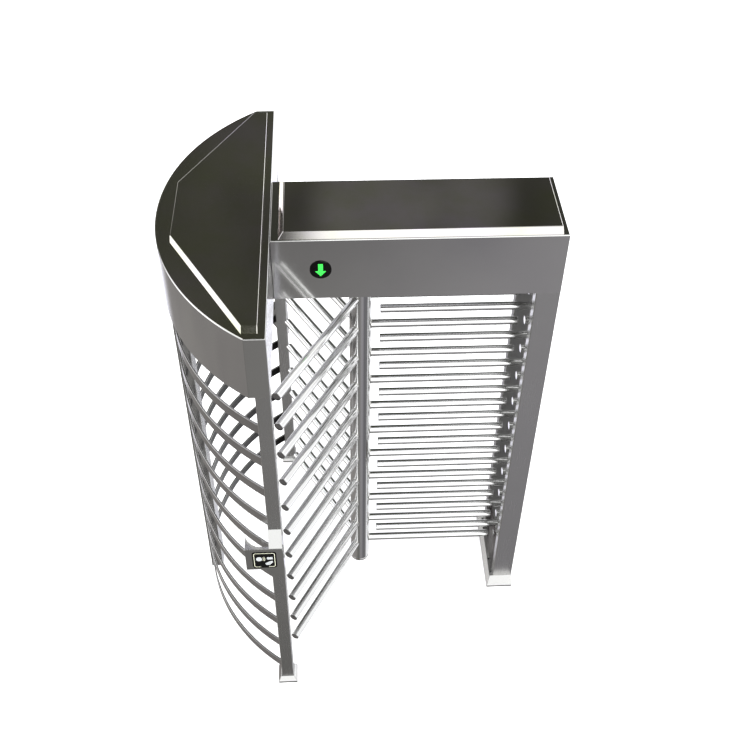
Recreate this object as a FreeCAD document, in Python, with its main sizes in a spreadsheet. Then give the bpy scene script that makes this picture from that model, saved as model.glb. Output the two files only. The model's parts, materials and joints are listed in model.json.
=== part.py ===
import FreeCAD, Part
import math
import os
import re

# Full-height security turnstile in stainless steel.
#
# A rotor with three wings of horizontal arms turns on a floor pivot and hangs in
# a header beam. On its right the arms pass through a comb of fixed bars. On its
# left a half-round cage of rolled flat bars, under a D-shaped canopy, keeps the
# passage closed. A card reader stands at each side of the walkway.
#
# Frame: origin on the floor on the rotor's axis, +X towards the comb, +Y through
# the passage away from the front reader, +Z up. Millimetres.

doc = FreeCAD.newDocument("full_height_turnstile")
sheet = doc.addObject("Spreadsheet::Sheet", "spec")
NODES = []

X_AXIS = FreeCAD.Rotation(FreeCAD.Vector(0, 0, 1), FreeCAD.Vector(1, 0, 0))
Y_AXIS = FreeCAD.Rotation(FreeCAD.Vector(0, 0, 1), FreeCAD.Vector(0, 1, 0))
Z_AXIS = FreeCAD.Rotation()

# Where the ledge screws stand, as shares of half the header's width.
SCREW_SHARES = (-0.89, -0.47, 0.57, 0.89)

# Gear teeth: depth below the pitch circle in modules, then the widths of a tooth at its root and
# at its tip, and its share of half a pitch at the pitch circle.
ROOT_DEEP = 1.25
ROOT_WIDTH = 1.45
TIP_WIDTH = 0.45
TOOTH_SHARE = 0.9

# ---------------------------------------------------------------- driving sizes

SIZES = {
    # overall
    "deck_level": 2010,        # underside of canopy and header
    "fascia_height": 290,      # depth of the canopy and header boxes
    "left_edge": -803,         # outermost point of the round canopy
    "right_edge": 803,         # outer face of the right-hand posts
    "flat_side": -354,         # straight side of the D-shaped canopy
    "half_depth": 746,         # canopy centre line to its front face
    "facet": 80,               # square end of the canopy beside its straight side
    "header_half": 198,        # half the width of the header beam
    "sheet_wall": 3,           # folded sheet of canopy and header
    "lid_rise": 20,            # how far the lids stand above the boxes
    "lid_slope": 19,           # run of a lid's sloped border
    "lid_wall": 2,
    "lid_margin": 29,          # ledge between a lid and the edge of its box
    "lid_square_half": 194,    # half the lid's straight left end
    "lid_point": 72.5,         # left edge of the canopy to the lid's left end
    "lid_corner": 7,           # facet to the lid's corner
    "header_lid_margin": 6,    # ledge along the header lid
    "header_lid_slope": 26,    # run of the header lid's sloped border
    "header_lid_gap": 32,      # from the straight side to the header lid
    "header_lid_end": 25,      # ledge at the header lid's right end
    # posts
    "post_wide": 57,
    "post_deep": 60,
    "post_wall": 3,
    "side_post_wide": 60,
    "side_post_deep": 100,
    "side_post_inset": 2,      # outermost point of the canopy to the side post
    "wall_post_wide": 100,
    "wall_post_deep": 50,
    "comb_post_wide": 58,
    "comb_post_deep": 60,
    "base_plate": 8,           # thickness of the floor plates
    "plate_edge": 16,          # floor plate beyond its post
    "anchor_inset": 8,         # anchor hole centre beyond the post's face
    "anchor_hole": 4.5,        # radius of a floor anchor hole
    "rail_anchor_pitch": 70,   # between the right plate's anchors, across
    "rail_anchor_inset": 95,   # header's front face to the right plate's anchors
    "cover_edge": 18,          # foot cover beyond its post
    "cover_high": 40,
    "cover_lip": 12,
    "cover_wall": 2,
    "cover_crown": 4,          # ledge of the cover round its post
    "wall_cover_edge": 36,     # right foot cover beyond the posts, passage side
    "wall_cover_end": 47,      # right foot cover beyond the posts, front and rear
    "wall_cover_slope": 18,
    "screw_inset": 9,          # right-hand posts to the ledge screws
    "screw_radius": 5,
    "screw_high": 3,
    # cage of rolled flat bars
    "band_high": 50,
    "band_thick": 8,
    "band_inset": 19,          # canopy's outer face to the bars' outer face
    "band_first": 150,
    "band_pitch": 187,
    # rotor
    "column_radius": 48.5,
    "column_wall": 4,
    "column_bottom": 16,
    "column_gap": 8,           # column's top to the header
    "arm_radius": 19,
    "arm_wall": 1.5,
    "arm_tip": 690,
    "arm_first": 150,
    "arm_pitch": 171,
    "cap_thick": 3,
    "cap_plug": 10,
    "cap_fit": 0.2,
    "shaft_radius": 20,
    "shaft_end": 12,           # shaft above the index wheel
    "shaft_fit": 0.05,
    "shaft_clear": 4,          # shaft to its hole in the soffit
    "pivot_radius": 15,
    "pivot_top": 70,
    "pivot_gap": 4,            # floor pivot plate to the rotor column, and under the pin
    "pivot_bolts": 34,         # radius of the floor pivot's bolt circle
    "bush_crown": 12,          # foot bush above the pivot pin
    "thrust_gap": 2,           # pivot pin's end to the bush
    "plug_deep": 30,           # shaft's plug inside the column
    # comb
    "comb_tip": 85,            # free ends of the comb bars from the rotor axis
    "stub_gap": 30,            # arm tips to the stubs
    "kick_high": 190,
    "kick_thick": 3,
    "kick_inset": 20,          # comb post to the kick panel
    "kick_clear": 1,           # hole in the kick panel round the lowest stub
    # reader
    "reader_deep": 44,         # reader housing in front of its post
    "reader_low": 957,
    "reader_high": 1148,
    "reader_roof": 82,         # rise of the sloped roof to the post
    "reader_out": 101,         # tongue beyond the post, away from the passage
    "reader_side": 3,          # cheek beyond the post, passage side
    "reader_tongue": 14,       # thickness of the tongue
    "tongue_low": 1006,
    "reader_wall": 2,
    "reader_chamfer": 30,      # corner cut off the housing beside the roof
    "reader_step": 25,         # run of the stepped foot left of the post
    "reader_tuck": 4,          # and right of the post's left side
    "lobe_wide": 60,
    "lobe_deep": 58,
    "lobe_bow": 0.36,          # how far the lobe's scooped side reaches in, as a share
    "window_wide": 103,
    "window_high": 110,
    "window_radius": 12,
    "window_thick": 3,
    "window_proud": 1.5,
    "window_gap": 0.2,         # round the window in its pocket
    "board_thick": 1.6,
    "board_edge": 5,           # main board to the post's sides
    "board_deep": 20,          # main board in front of the post's face
    "board_low": 20,           # main board above the housing's low edge
    "board_short": 60,         # main board shorter than the housing
    "antenna_edge": 6,         # antenna board to the tongue's sides
    "antenna_deep": 7,         # antenna board behind the housing's face
    "antenna_low": 8,
    "window_side": 27,         # window's right edge from the post's right side
    "window_foot": 13,         # window's low edge above the tongue's low edge
    # lamp
    "lamp_across": -163,       # lamp centre, measured along the header
    "lamp_rise": 147,          # lamp centre above the header's underside
    "lamp_radius": 43,
    "lamp_rim": 2.5,
    "lamp_proud": 4,
    "lamp_seat": 5,            # lamp's edge to its hole in the header
    "lens_fit": 0.3,           # lens in its hole
    "lens_tail": 6,            # lens behind the header's sheet
    "arrow_stem": 9.5,         # half the arrow's stem
    "arrow_head": 22,          # half the arrow's head
    "arrow_top": 29,           # lamp centre up to the stem's end
    "arrow_neck": 6,           # lamp centre down to the head's wide end
    "arrow_point": 31,         # lamp centre down to the arrow's point
    # drive in the header
    "deck_rise": 37,           # mechanism deck above the header's soffit
    "deck_thick": 8,
    "deck_half_x": 205,
    "deck_half_y": 170,
    "bearing_radius": 45,
    "bearing_flange": 62,
    "gear_rise": 32,           # gear above the mechanism deck
    "gear_thick": 12,
    "tooth_module": 3,
    "gear_teeth": 80,
    "pinion_teeth": 20,
    "wheel_rise": 18,          # index wheel above the gear
    "wheel_thick": 10,
    "wheel_radius": 90,
    "wheel_notches": 24,
    "notch_deep": 12,
    "notch_half": 7.5,
    "pawl_pin_y": 106,
    "pawl_pin_radius": 6,
    "pawl_pin_gap": 6.25,      # pin to the gear's tooth tips
    "pawl_swing": 12,          # degrees from free to engaged
    "pawl_half": 4,            # half the tooth's width
    "pawl_tip_gap": 2,         # engaged tooth to the notch's floor
    "pawl_under": 6,           # arm's underside outside the index wheel
    "pawl_tail": 46,           # pin to the tail's end, across
    "pawl_tail_half": 6,
    "pawl_back": 10,           # pin to the arm's back
    "pawl_boss": 12,           # radius of the boss round the pin
    "pawl_thin": 1,            # pawl inside the index wheel's faces
    "pawl_pin_head": 4,        # pin above the index wheel
    "solenoid_reach": 40,      # pawl pin to the solenoid's middle, across
    "solenoid_gap": 34,        # pawl pin to the solenoid's case
    "coil_wide": 40,
    "coil_deep": 28,
    "coil_high": 40,
    "coil_foot_wide": 30,
    "coil_foot_deep": 20,
    "coil_foot_inset": 4,      # foot behind the case's face
    "plunger_radius": 5,
    "plunger_long": 42,
    "plunger_gap": 4,          # pawl pin's centre line to the plunger
    "pillar_radius": 12,
    "pillar_inset": 20,        # deck's edges to the pillars
    "flange_thick": 14,
    "pinion_shaft": 6,
    "shaft_float": 2,          # pinion shaft's end to its housing's floor
    "damper_radius": 46,
    "damper_high": 26,
    "damper_floor": 10,
    "counter_wide": 64,
    "counter_high": 24,
    "counter_floor": 8,
    # control electronics on the header's soffit
    "case_left": 290,
    "case_long": 220,
    "case_deep": 150,
    "case_high": 60,
    "case_wall": 3,
    "case_board_edge": 15,     # board to the case's outer faces
    "case_board_rise": 12,
    "supply_left": 590,
    "supply_long": 150,
    "supply_deep": 100,
    "supply_high": 50,
    # service lock in the header's soffit
    "lock_x": 430,
    "lock_y": 120,
    "lock_radius": 9.5,
    "lock_sleeve": 3.5,        # sleeve round the barrel
    "lock_sleeve_high": 16,
    "lock_flange": 7,          # flange beyond the barrel
    "lock_flange_thick": 3,
    "lock_plug_long": 22,
    "cam_gap": 0.4,            # cam above the sleeve
    "cam_long": 34,
    "cam_wide": 14,
    "cam_thick": 3,
    "key_long": 9,
    "key_wide": 2,
    "key_deep": 7,
}

# Values worked out from the driving sizes, written in the same words.
DERIVED = {
    "top_level": "deck_level + fascia_height",
    "facet_edge": "flat_side - facet",
    "canopy_radius": "((facet_edge - left_edge)^2 + half_depth^2) / (2 * (facet_edge - left_edge))",
    "canopy_centre": "left_edge + canopy_radius",
    "post_left": "flat_side - post_wide",
    "post_inner": "half_depth - post_deep",
    "wall_post_left": "right_edge - wall_post_wide",
    "comb_post_left": "right_edge - comb_post_wide",
    "reader_front": "half_depth + reader_deep",
    "inner_deck": "deck_level + sheet_wall + deck_rise",
    "deck_top": "inner_deck + deck_thick",
    "gear_radius": "tooth_module * gear_teeth / 2",
    "pinion_radius": "tooth_module * pinion_teeth / 2",
    "gear_centres": "gear_radius + pinion_radius",
    "column_top": "deck_level - column_gap",
    "stub_tip": "arm_tip + stub_gap",
    "lamp_level": "deck_level + lamp_rise",
    "gear_level": "deck_top + gear_rise",
    "wheel_level": "gear_level + gear_thick + wheel_rise",
    "shaft_top": "wheel_level + wheel_thick + shaft_end",
    "pawl_pin_reach": "gear_radius + tooth_module + pawl_pin_radius + pawl_pin_gap",
    "pawl_pin_x": "sqrt(pawl_pin_reach^2 - pawl_pin_y^2)",
    "solenoid_x": "pawl_pin_x + solenoid_reach",
    "solenoid_y": "pawl_pin_y + solenoid_gap",
    "window_right": "flat_side - window_side",
    "window_low": "tongue_low + window_foot",
    "arm_room": "(column_top - arm_first - arm_radius) / arm_pitch",
    "band_room": "(deck_level - band_first - band_high / 2) / band_pitch",
}


def fill_sheet():
    """One row per driving size: its name, its value and the alias that the objects use."""
    for row, (name, value) in enumerate(SIZES.items(), start=1):
        sheet.set("A%d" % row, name)
        sheet.set("B%d" % row, str(value))
        sheet.setAlias("B%d" % row, name)
    doc.recompute()


def bound(text):
    """The expression for a size written in plain words, such as '-half_depth + post_wall'."""
    words = re.compile(r"[a-z][a-z0-9_]*")

    def swap(match):
        word = match.group(0)
        if word in DERIVED:
            return "(" + words.sub(swap, DERIVED[word]) + ")"
        return "spec." + word if word in SIZES else word

    return words.sub(swap, str(text))


def size(text):
    """The number that a size written in plain words comes to now."""
    words = re.compile(r"[a-z][a-z0-9_]*")

    def swap(match):
        word = match.group(0)
        if word in DERIVED:
            return repr(size(DERIVED[word]))
        return repr(float(sheet.get(word))) if word in SIZES else word

    return FreeCAD.Units.parseQuantity(words.sub(swap, str(text))).Value


# ------------------------------------------------------------- building helpers


def bind(obj, **sizes):
    """Ties each property to its expression."""
    for prop, text in sizes.items():
        obj.setExpression(prop, bound(text))
    return obj


def put(obj, at=(0, 0, 0), turn=Z_AXIS):
    """Turns the object and ties its place to the sheet."""
    obj.Placement = FreeCAD.Placement(FreeCAD.Vector(), turn)
    for axis, text in zip("xyz", at):
        obj.setExpression("Placement.Base." + axis, bound(text))
    return obj


def box(name, span, at):
    """A block with its lowest corner at `at`."""
    obj = doc.addObject("Part::Box", name)
    bind(obj, Length=span[0], Width=span[1], Height=span[2])
    return put(obj, at)


def rod(name, radius, length, at, turn=Z_AXIS):
    """A cylinder that starts at `at` and runs along the turned Z axis."""
    obj = doc.addObject("Part::Cylinder", name)
    bind(obj, Radius=radius, Height=length)
    return put(obj, at, turn)


def cut(name, base, *tools):
    """The base with each tool taken away in turn."""
    for number, tool in enumerate(tools):
        obj = doc.addObject("Part::Cut", name if number == len(tools) - 1 else name + "_part")
        obj.Base = base
        obj.Tool = tool
        base = obj
    return base


def join(name, *shapes):
    """All shapes fused into one."""
    obj = doc.addObject("Part::MultiFuse", name)
    obj.Shapes = list(shapes)
    return obj


def shared(name, *shapes):
    """What all shapes have in common."""
    obj = doc.addObject("Part::MultiCommon", name)
    obj.Shapes = list(shapes)
    return obj


def group(name, members, turn=Z_AXIS, at=(0, 0, 0)):
    """Separate solids kept side by side in one object."""
    obj = doc.addObject("Part::Compound", name)
    obj.Links = list(members)
    return put(obj, at, turn)


def mirror(name, source, normal):
    """The source reflected in the plane through the origin."""
    obj = doc.addObject("Part::Mirroring", name)
    obj.Source = source
    obj.Normal = FreeCAD.Vector(*normal)
    return obj


def solid(name, shape):
    """A shape that no primitive gives, kept as a plain feature."""
    obj = doc.addObject("Part::Feature", name)
    obj.Shape = shape
    return obj


def frustum(name, low, high, floor, rise, left, right, ends):
    """A block in plan from `low` to `high`, whose sides lean in by left, right and ends."""
    obj = doc.addObject("Part::Wedge", name)
    bind(obj, Xmin=low[0], Xmax=high[0], Ymin=floor, Ymax="(%s) + (%s)" % (floor, rise))
    bind(obj, Zmin="-(%s)" % high[1], Zmax="-(%s)" % low[1])
    bind(obj, X2min="(%s) + (%s)" % (low[0], left), X2max="(%s) - (%s)" % (high[0], right))
    bind(obj, Z2min="-(%s) + (%s)" % (high[1], ends), Z2max="-(%s) - (%s)" % (low[1], ends))
    obj.Placement = FreeCAD.Placement(
        FreeCAD.Vector(), FreeCAD.Rotation(FreeCAD.Vector(1, 0, 0), 90)
    )
    return obj


def outline(points):
    """A closed flat face through points given as (x, y, z)."""
    corners = [FreeCAD.Vector(*point) for point in points]
    return Part.Face(Part.makePolygon(corners + corners[:1]))


def node(name, obj):
    """Registers the finished sub-part under its file name."""
    obj.Label = name
    NODES.append(obj)
    return obj


# ------------------------------------------------------------ canopy and header


def d_prism(name, inset, height):
    """The D-shaped plan, drawn in by `inset`, as a prism on the deck level."""
    level = size("deck_level")
    right = size("flat_side") - inset
    half = size("half_depth") - inset
    centre = size("canopy_centre")
    radius = size("canopy_radius") - inset
    facet = centre - math.sqrt(radius ** 2 - half ** 2)
    front_end = FreeCAD.Vector(facet, -half, level)
    rear_end = FreeCAD.Vector(facet, half, level)
    front_corner = FreeCAD.Vector(right, -half, level)
    rear_corner = FreeCAD.Vector(right, half, level)
    round_side = Part.Arc(rear_end, FreeCAD.Vector(centre - radius, 0, level), front_end).toShape()
    edges = [Part.makeLine(front_end, front_corner), Part.makeLine(front_corner, rear_corner),
             Part.makeLine(rear_corner, rear_end), round_side]
    return solid(name, Part.Face(Part.Wire(edges)).extrude(FreeCAD.Vector(0, 0, height)))


def canopy():
    """A folded D-shaped box, open below, and the flat panel that closes it."""
    wall = size("sheet_wall")
    outer = d_prism("canopy_outer", 0, size("fascia_height"))
    inner = d_prism("canopy_inner", wall, size("fascia_height") - wall)
    node("canopy_shell", cut("canopy_shell", outer, inner))
    node("canopy_soffit", d_prism("canopy_soffit", wall, wall))


def lid_block(inset, drop):
    """The canopy lid's outer form, drawn in by `inset` and lowered by `drop`."""
    right = size("flat_side - lid_margin") - inset
    left = size("left_edge + lid_point") + inset
    corner = size("facet_edge - lid_corner")
    rings = []
    for level, run in ((0, inset), (size("lid_rise") - drop, size("lid_slope") + inset)):
        depth = size("half_depth - lid_margin") - run
        end = size("lid_square_half") - run
        half = [(right, depth), (corner, depth), (left, end)]
        points = [(x, -y, level) for x, y in half] + [(x, y, level) for x, y in reversed(half)]
        vectors = [FreeCAD.Vector(*point) for point in points]
        rings.append(Part.makePolygon(vectors + vectors[:1]))
    block = Part.makeLoft(rings, True, True)
    block.translate(FreeCAD.Vector(0, 0, size("top_level")))
    return block


def canopy_lid():
    """A shallow tray lid: square at both ends, sloped along its front, rear and diagonals."""
    wall = size("lid_wall")
    node("canopy_lid", solid("canopy_lid", lid_block(0, 0).cut(lid_block(wall, wall))))


def header():
    length = "right_edge - flat_side"
    outer = box("header_outer", (length, "2 * header_half", "fascia_height"),
                ("flat_side", "-header_half", "deck_level"))
    inner = box("header_inner",
                (length + " - sheet_wall", "2 * (header_half - sheet_wall)", "fascia_height - sheet_wall"),
                ("flat_side", "-header_half + sheet_wall", "deck_level"))
    holes = rod("lamp_hole", "lamp_radius - lamp_seat", "2 * header_half + 2",
                ("lamp_across", "-header_half - 1", "lamp_level"), Y_AXIS)
    node("header_shell", cut("header_shell", outer, inner, holes))

    panel = box("header_panel", (length + " - sheet_wall", "2 * (header_half - sheet_wall)", "sheet_wall"),
                ("flat_side", "-header_half + sheet_wall", "deck_level"))
    shaft_hole = rod("shaft_hole", "shaft_radius + shaft_clear", "3 * sheet_wall",
                     ("0", "0", "deck_level - sheet_wall"))
    lock_hole = rod("lock_hole", "lock_radius + lock_sleeve", "3 * sheet_wall",
                    ("lock_x", "lock_y", "deck_level - sheet_wall"))
    node("header_soffit", cut("header_soffit", panel, shaft_hole, lock_hole))

    skin = frustum("header_lid_skin", ("flat_side + header_lid_gap", "-header_half + header_lid_margin"),
                   ("right_edge - header_lid_end", "header_half - header_lid_margin"),
                   "top_level", "lid_rise", "lid_slope", "0", "header_lid_slope")
    under = frustum("header_lid_under",
                    ("flat_side + header_lid_gap + lid_wall", "-header_half + header_lid_margin + lid_wall"),
                    ("right_edge - header_lid_end - lid_wall", "header_half - header_lid_margin - lid_wall"),
                    "top_level", "lid_rise - lid_wall", "lid_slope", "0", "header_lid_slope")
    node("header_lid", cut("header_lid", skin, under))


# ------------------------------------------------------------------------ posts


def post(name, wide, deep, left, front):
    """A square tube from its floor plate up to the canopy."""
    rise = "deck_level - base_plate"
    outer = box(name + "_outer", (wide, deep, rise), (left, front, "base_plate"))
    bore = box(name + "_bore", (wide + " - 2 * post_wall", deep + " - 2 * post_wall", rise),
               (left + " + post_wall", front + " + post_wall", "base_plate"))
    return node(name, cut(name, outer, bore))


def posts():
    post("front_left_post", "post_wide", "post_deep", "post_left", "-half_depth")
    post("rear_left_post", "post_wide", "post_deep", "post_left", "post_inner")
    post("side_left_post", "side_post_wide", "side_post_deep", "left_edge + side_post_inset", "-side_post_deep / 2")
    post("front_right_post", "wall_post_wide", "wall_post_deep", "wall_post_left", "-header_half")
    post("rear_right_post", "wall_post_wide", "wall_post_deep", "wall_post_left",
         "header_half - wall_post_deep")
    post("comb_post", "comb_post_wide", "comb_post_deep", "comb_post_left", "-comb_post_deep / 2")


def anchor_holes(name, corners):
    """Drilled holes through the floor plate at each (x, y)."""
    holes = [rod("%s_hole_%d" % (name, i), "anchor_hole", "base_plate + 2", (x, y, "-1"))
             for i, (x, y) in enumerate(corners)]
    return group(name + "_holes", holes)


def floor_plates():
    left_x = ("post_left - anchor_inset", "flat_side + anchor_inset")
    depth = ("post_inner - anchor_inset", "half_depth + anchor_inset")
    plates = []
    for name, sign, low in (("front_left", "-", "-half_depth"), ("rear_left", "", "post_inner")):
        slab = box(name + "_slab", ("post_wide + 2 * plate_edge", "post_deep + 2 * plate_edge", "base_plate"),
                   ("post_left - plate_edge", low + " - plate_edge", "0"))
        spots = [(x, "%s(%s)" % (sign, y)) for x in left_x for y in depth]
        label = name + "_base_plate"
        plates.append(cut(label, slab, anchor_holes(label, spots)))

    plates.append(box("side_left_base_plate", ("side_post_wide", "side_post_deep", "base_plate"),
                      ("left_edge + side_post_inset", "-side_post_deep / 2", "0")))
    node("left_base_plates", group("left_base_plates", plates))

    rail = box("rail", ("wall_post_wide + plate_edge - cover_wall", "2 * (header_half + plate_edge)", "base_plate"),
               ("wall_post_left - plate_edge", "-header_half - plate_edge", "0"))
    spots = [("wall_post_left + %d * rail_anchor_pitch" % step, "%s(header_half - rail_anchor_inset)" % sign)
             for step in (0, 1) for sign in ("", "-")]
    node("right_base_plate", cut("right_base_plate", rail, anchor_holes("right_base_plate", spots)))


def cover(name, low, high, left, right, ends, posts_inside):
    """A folded foot cover: upright lip, sloped sides, hollow underneath, open round the posts."""
    skin = "cover_wall"
    sloped = "cover_high - cover_lip"
    lip = box(name + "_lip", ("(%s) - (%s)" % (high[0], low[0]), "(%s) - (%s)" % (high[1], low[1]), "cover_lip"),
              (low[0], low[1], "0"))
    roof = frustum(name + "_roof", low, high, "cover_lip", sloped, left, right, ends)
    in_low = (low[0] + " + " + skin, low[1] + " + " + skin)
    in_high = (high[0] + " - " + skin, high[1] + " - " + skin)
    hollow_lip = box(name + "_hollow_lip",
                     ("(%s) - (%s)" % (in_high[0], in_low[0]), "(%s) - (%s)" % (in_high[1], in_low[1]),
                      "cover_lip"),
                     (in_low[0], in_low[1], "0"))
    hollow_roof = frustum(name + "_hollow_roof", in_low, in_high, "cover_lip", sloped + " - cover_wall",
                          left, right, ends)
    holes = [box("%s_post_%d" % (name, i), (span[0], span[1], "2 * cover_high"), (at[0], at[1], "0"))
             for i, (span, at) in enumerate(posts_inside)]
    body = join(name + "_body", lip, roof)
    hollow = join(name + "_hollow", hollow_lip, hollow_roof)
    return cut(name, body, hollow, *holes)


def foot_covers():
    slope = "cover_edge - cover_crown"
    pair = []
    for name, front in (("front_left_foot_cover", "-half_depth"), ("rear_left_foot_cover", "post_inner")):
        low = ("post_left - cover_edge", front + " - cover_edge")
        high = ("flat_side + cover_edge", front + " + post_deep + cover_edge")
        inside = [(("post_wide", "post_deep"), ("post_left", front))]
        pair.append(cover(name, low, high, slope, slope, slope, inside))
    node("left_foot_covers", group("left_foot_covers", pair))

    low = ("wall_post_left - wall_cover_edge", "-header_half - wall_cover_end")
    high = ("right_edge", "header_half + wall_cover_end")
    inside = [
        (("wall_post_wide", "wall_post_deep"), ("wall_post_left", "-header_half")),
        (("wall_post_wide", "wall_post_deep"), ("wall_post_left", "header_half - wall_post_deep")),
        (("comb_post_wide", "comb_post_deep"), ("comb_post_left", "-comb_post_deep / 2")),
    ]
    whole = cover("right_foot_cover", low, high, "wall_cover_slope", "0",
                  "wall_cover_end - cover_crown", inside)
    node("right_foot_cover", whole)

    screws = []
    for number, share in enumerate(SCREW_SHARES):
        at = ("wall_post_left - screw_inset", "%g * header_half" % share, "cover_high")
        screws.append(rod("ledge_screw_%d" % number, "screw_radius", "screw_high", at))
    node("foot_cover_screws", group("foot_cover_screws", screws))


def kick_panel():
    """A low guard plate between the right-hand posts."""
    left = "comb_post_left - kick_inset"
    plate = box("kick_plate", ("kick_thick", "2 * (header_half - wall_post_deep)", "kick_high - cover_high"),
                (left, "-header_half + wall_post_deep", "cover_high"))
    hole = rod("kick_hole", "arm_radius + kick_clear", "3 * kick_thick",
               (left + " - kick_thick", "0", "arm_first"), X_AXIS)
    node("kick_panel", cut("kick_panel", plate, hole))


# ------------------------------------------------------------------------- cage


def cage():
    """Rolled flat bars from top to bottom, cut where they meet the three left-hand posts."""
    outer = "canopy_radius - band_inset"
    rims = []
    bores = []
    for number in range(int(size("band_room")) + 1):
        level = "band_first + %d * band_pitch - band_high / 2" % number
        at = ("canopy_centre", "0", level)
        rims.append(rod("band_rim_%d" % number, outer, "band_high", at))
        bores.append(rod("band_bore_%d" % number, outer + " - band_thick", "band_high", at))
    rings = cut("band_rings", group("band_rims", rims), group("band_bores", bores))
    span = ("post_left - left_edge", "half_depth - side_post_deep / 2", "deck_level")
    front = box("band_front_room", span, ("left_edge", "-half_depth", "0"))
    rear = box("band_rear_room", span, ("left_edge", "side_post_deep / 2", "0"))
    node("cage_bars_front", shared("cage_bars_front", rings, front))
    node("cage_bars_rear", shared("cage_bars_rear", rings, rear))


# ------------------------------------------------------------------------ rotor


def arm_level(number):
    return "arm_first + %d * arm_pitch" % number


def wings():
    """Three wings of tubes, welded to the column, each tube closed by a pressed cap."""
    count = int(size("arm_room")) + 1
    tubes = []
    bores = []
    discs = []
    plugs = []
    for number in range(count):
        level = arm_level(number)
        root = ("0.7 * column_radius", "0", level)
        run = "arm_tip - cap_thick - 0.7 * column_radius"
        tip = ("arm_tip - cap_thick", "0", level)
        tubes.append(rod("arm_%d" % number, "arm_radius", run, root, X_AXIS))
        bores.append(rod("arm_bore_%d" % number, "arm_radius - arm_wall", run, root, X_AXIS))
        discs.append(rod("cap_disc_%d" % number, "arm_radius", "cap_thick", tip, X_AXIS))
        plugs.append(rod("cap_plug_%d" % number, "arm_radius - arm_wall - cap_fit", "cap_plug",
                         ("arm_tip - cap_thick - cap_plug", "0", level), X_AXIS))
    core = rod("wing_core", "column_radius", "deck_level", ("0", "0", "0"))
    arms = cut("wing_arms", group("arm_tubes", tubes), group("arm_bores", bores), core)
    caps = join("wing_caps", group("cap_discs", discs), group("cap_plugs", plugs))
    all_caps = []
    for label, angle in (("a", 0), ("b", 120), ("c", 240)):
        turn = FreeCAD.Rotation(FreeCAD.Vector(0, 0, 1), angle)
        name = "wing_%s_arms" % label
        node(name, group(name, [arms], turn))
        all_caps.append(group("wing_%s_caps" % label, [caps], turn))
    node("arm_end_caps", group("arm_end_caps", all_caps))


def column():
    rise = "column_top - column_bottom"
    outer = rod("column_outer", "column_radius", rise, ("0", "0", "column_bottom"))
    bore = rod("column_inner", "column_radius - column_wall", rise, ("0", "0", "column_bottom"))
    node("rotor_column", cut("rotor_column", outer, bore))

    top_plug = rod("top_plug", "column_radius - column_wall", "plug_deep",
                   ("0", "0", "column_top - plug_deep"))
    spindle = rod("spindle", "shaft_radius", "shaft_top - column_top", ("0", "0", "column_top"))
    node("rotor_shaft", join("rotor_shaft", top_plug, spindle))

    hub = rod("hub", "column_radius - column_wall", "pivot_top + bush_crown - column_bottom",
              ("0", "0", "column_bottom"))
    socket = rod("socket", "pivot_radius + shaft_fit", "pivot_top + thrust_gap - column_bottom",
                 ("0", "0", "column_bottom"))
    node("rotor_foot_bush", cut("rotor_foot_bush", hub, socket))


def floor_pivot():
    """A turned plate on the floor that carries the rotor on a pin with a domed thrust end."""
    plate = rod("pivot_disc", "column_radius", "column_bottom - pivot_gap", ("0", "0", "0"))
    pin_hole = rod("pivot_pin_hole", "pivot_radius", "column_bottom", ("0", "0", "pivot_gap"))
    spots = []
    for number in range(3):
        angle = math.radians(60 + 120 * number)
        at = ("pivot_bolts * %.6f" % math.cos(angle), "pivot_bolts * %.6f" % math.sin(angle), "-1")
        spots.append(rod("pivot_anchor_%d" % number, "anchor_hole", "column_bottom", at))
    node("floor_pivot_plate", cut("floor_pivot_plate", plate, pin_hole, group("pivot_anchors", spots)))
    node("pivot_pin", rod("pivot_pin", "pivot_radius", "pivot_top - pivot_gap", ("0", "0", "pivot_gap")))


# ------------------------------------------------------------------------- comb


def comb():
    """Fixed bars between the rotor's arms, and short stubs level with the arms."""
    count = int(size("arm_room")) + 1
    bars = []
    bores = []
    caps = []
    stubs = []
    for number in range(count):
        level = arm_level(number)
        between = level + " + arm_pitch / 2"
        stubs.append(rod("stub_%d" % number, "arm_radius", "comb_post_left - stub_tip",
                         ("stub_tip", "0", level), X_AXIS))
        if number == count - 1:
            continue
        at = ("comb_tip + cap_thick", "0", between)
        run = "comb_post_left - comb_tip - cap_thick"
        bars.append(rod("comb_bar_%d" % number, "arm_radius", run, at, X_AXIS))
        bores.append(rod("comb_bore_%d" % number, "arm_radius - arm_wall", run, at, X_AXIS))
        disc = rod("comb_cap_disc_%d" % number, "arm_radius", "cap_thick", ("comb_tip", "0", between), X_AXIS)
        plug = rod("comb_cap_plug_%d" % number, "arm_radius - arm_wall - cap_fit", "cap_plug", at, X_AXIS)
        caps.append(join("comb_cap_%d" % number, disc, plug))
    node("comb_bars", cut("comb_bars", group("comb_tubes", bars), group("comb_bores", bores)))
    node("comb_bar_caps", group("comb_bar_caps", caps))
    node("comb_stubs", group("comb_stubs", stubs))


# ----------------------------------------------------------------------- reader


def reader_front_face(inset):
    """The reader's face outline: tongue to the left, chamfered corner, stepped foot."""
    left = size("post_left - reader_out") + inset
    right = size("flat_side + reader_side") - inset
    post_side = size("post_left") + inset
    high = size("reader_high") - inset
    low = size("reader_low") + inset
    shelf = size("tongue_low") + inset
    step = post_side - size("reader_step")
    tuck = post_side + size("reader_tuck")
    return [(left, shelf), (step, shelf), (tuck, low), (right, low),
            (right, high - size("reader_chamfer")), (size("flat_side") - inset, high), (left, high)]


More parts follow.
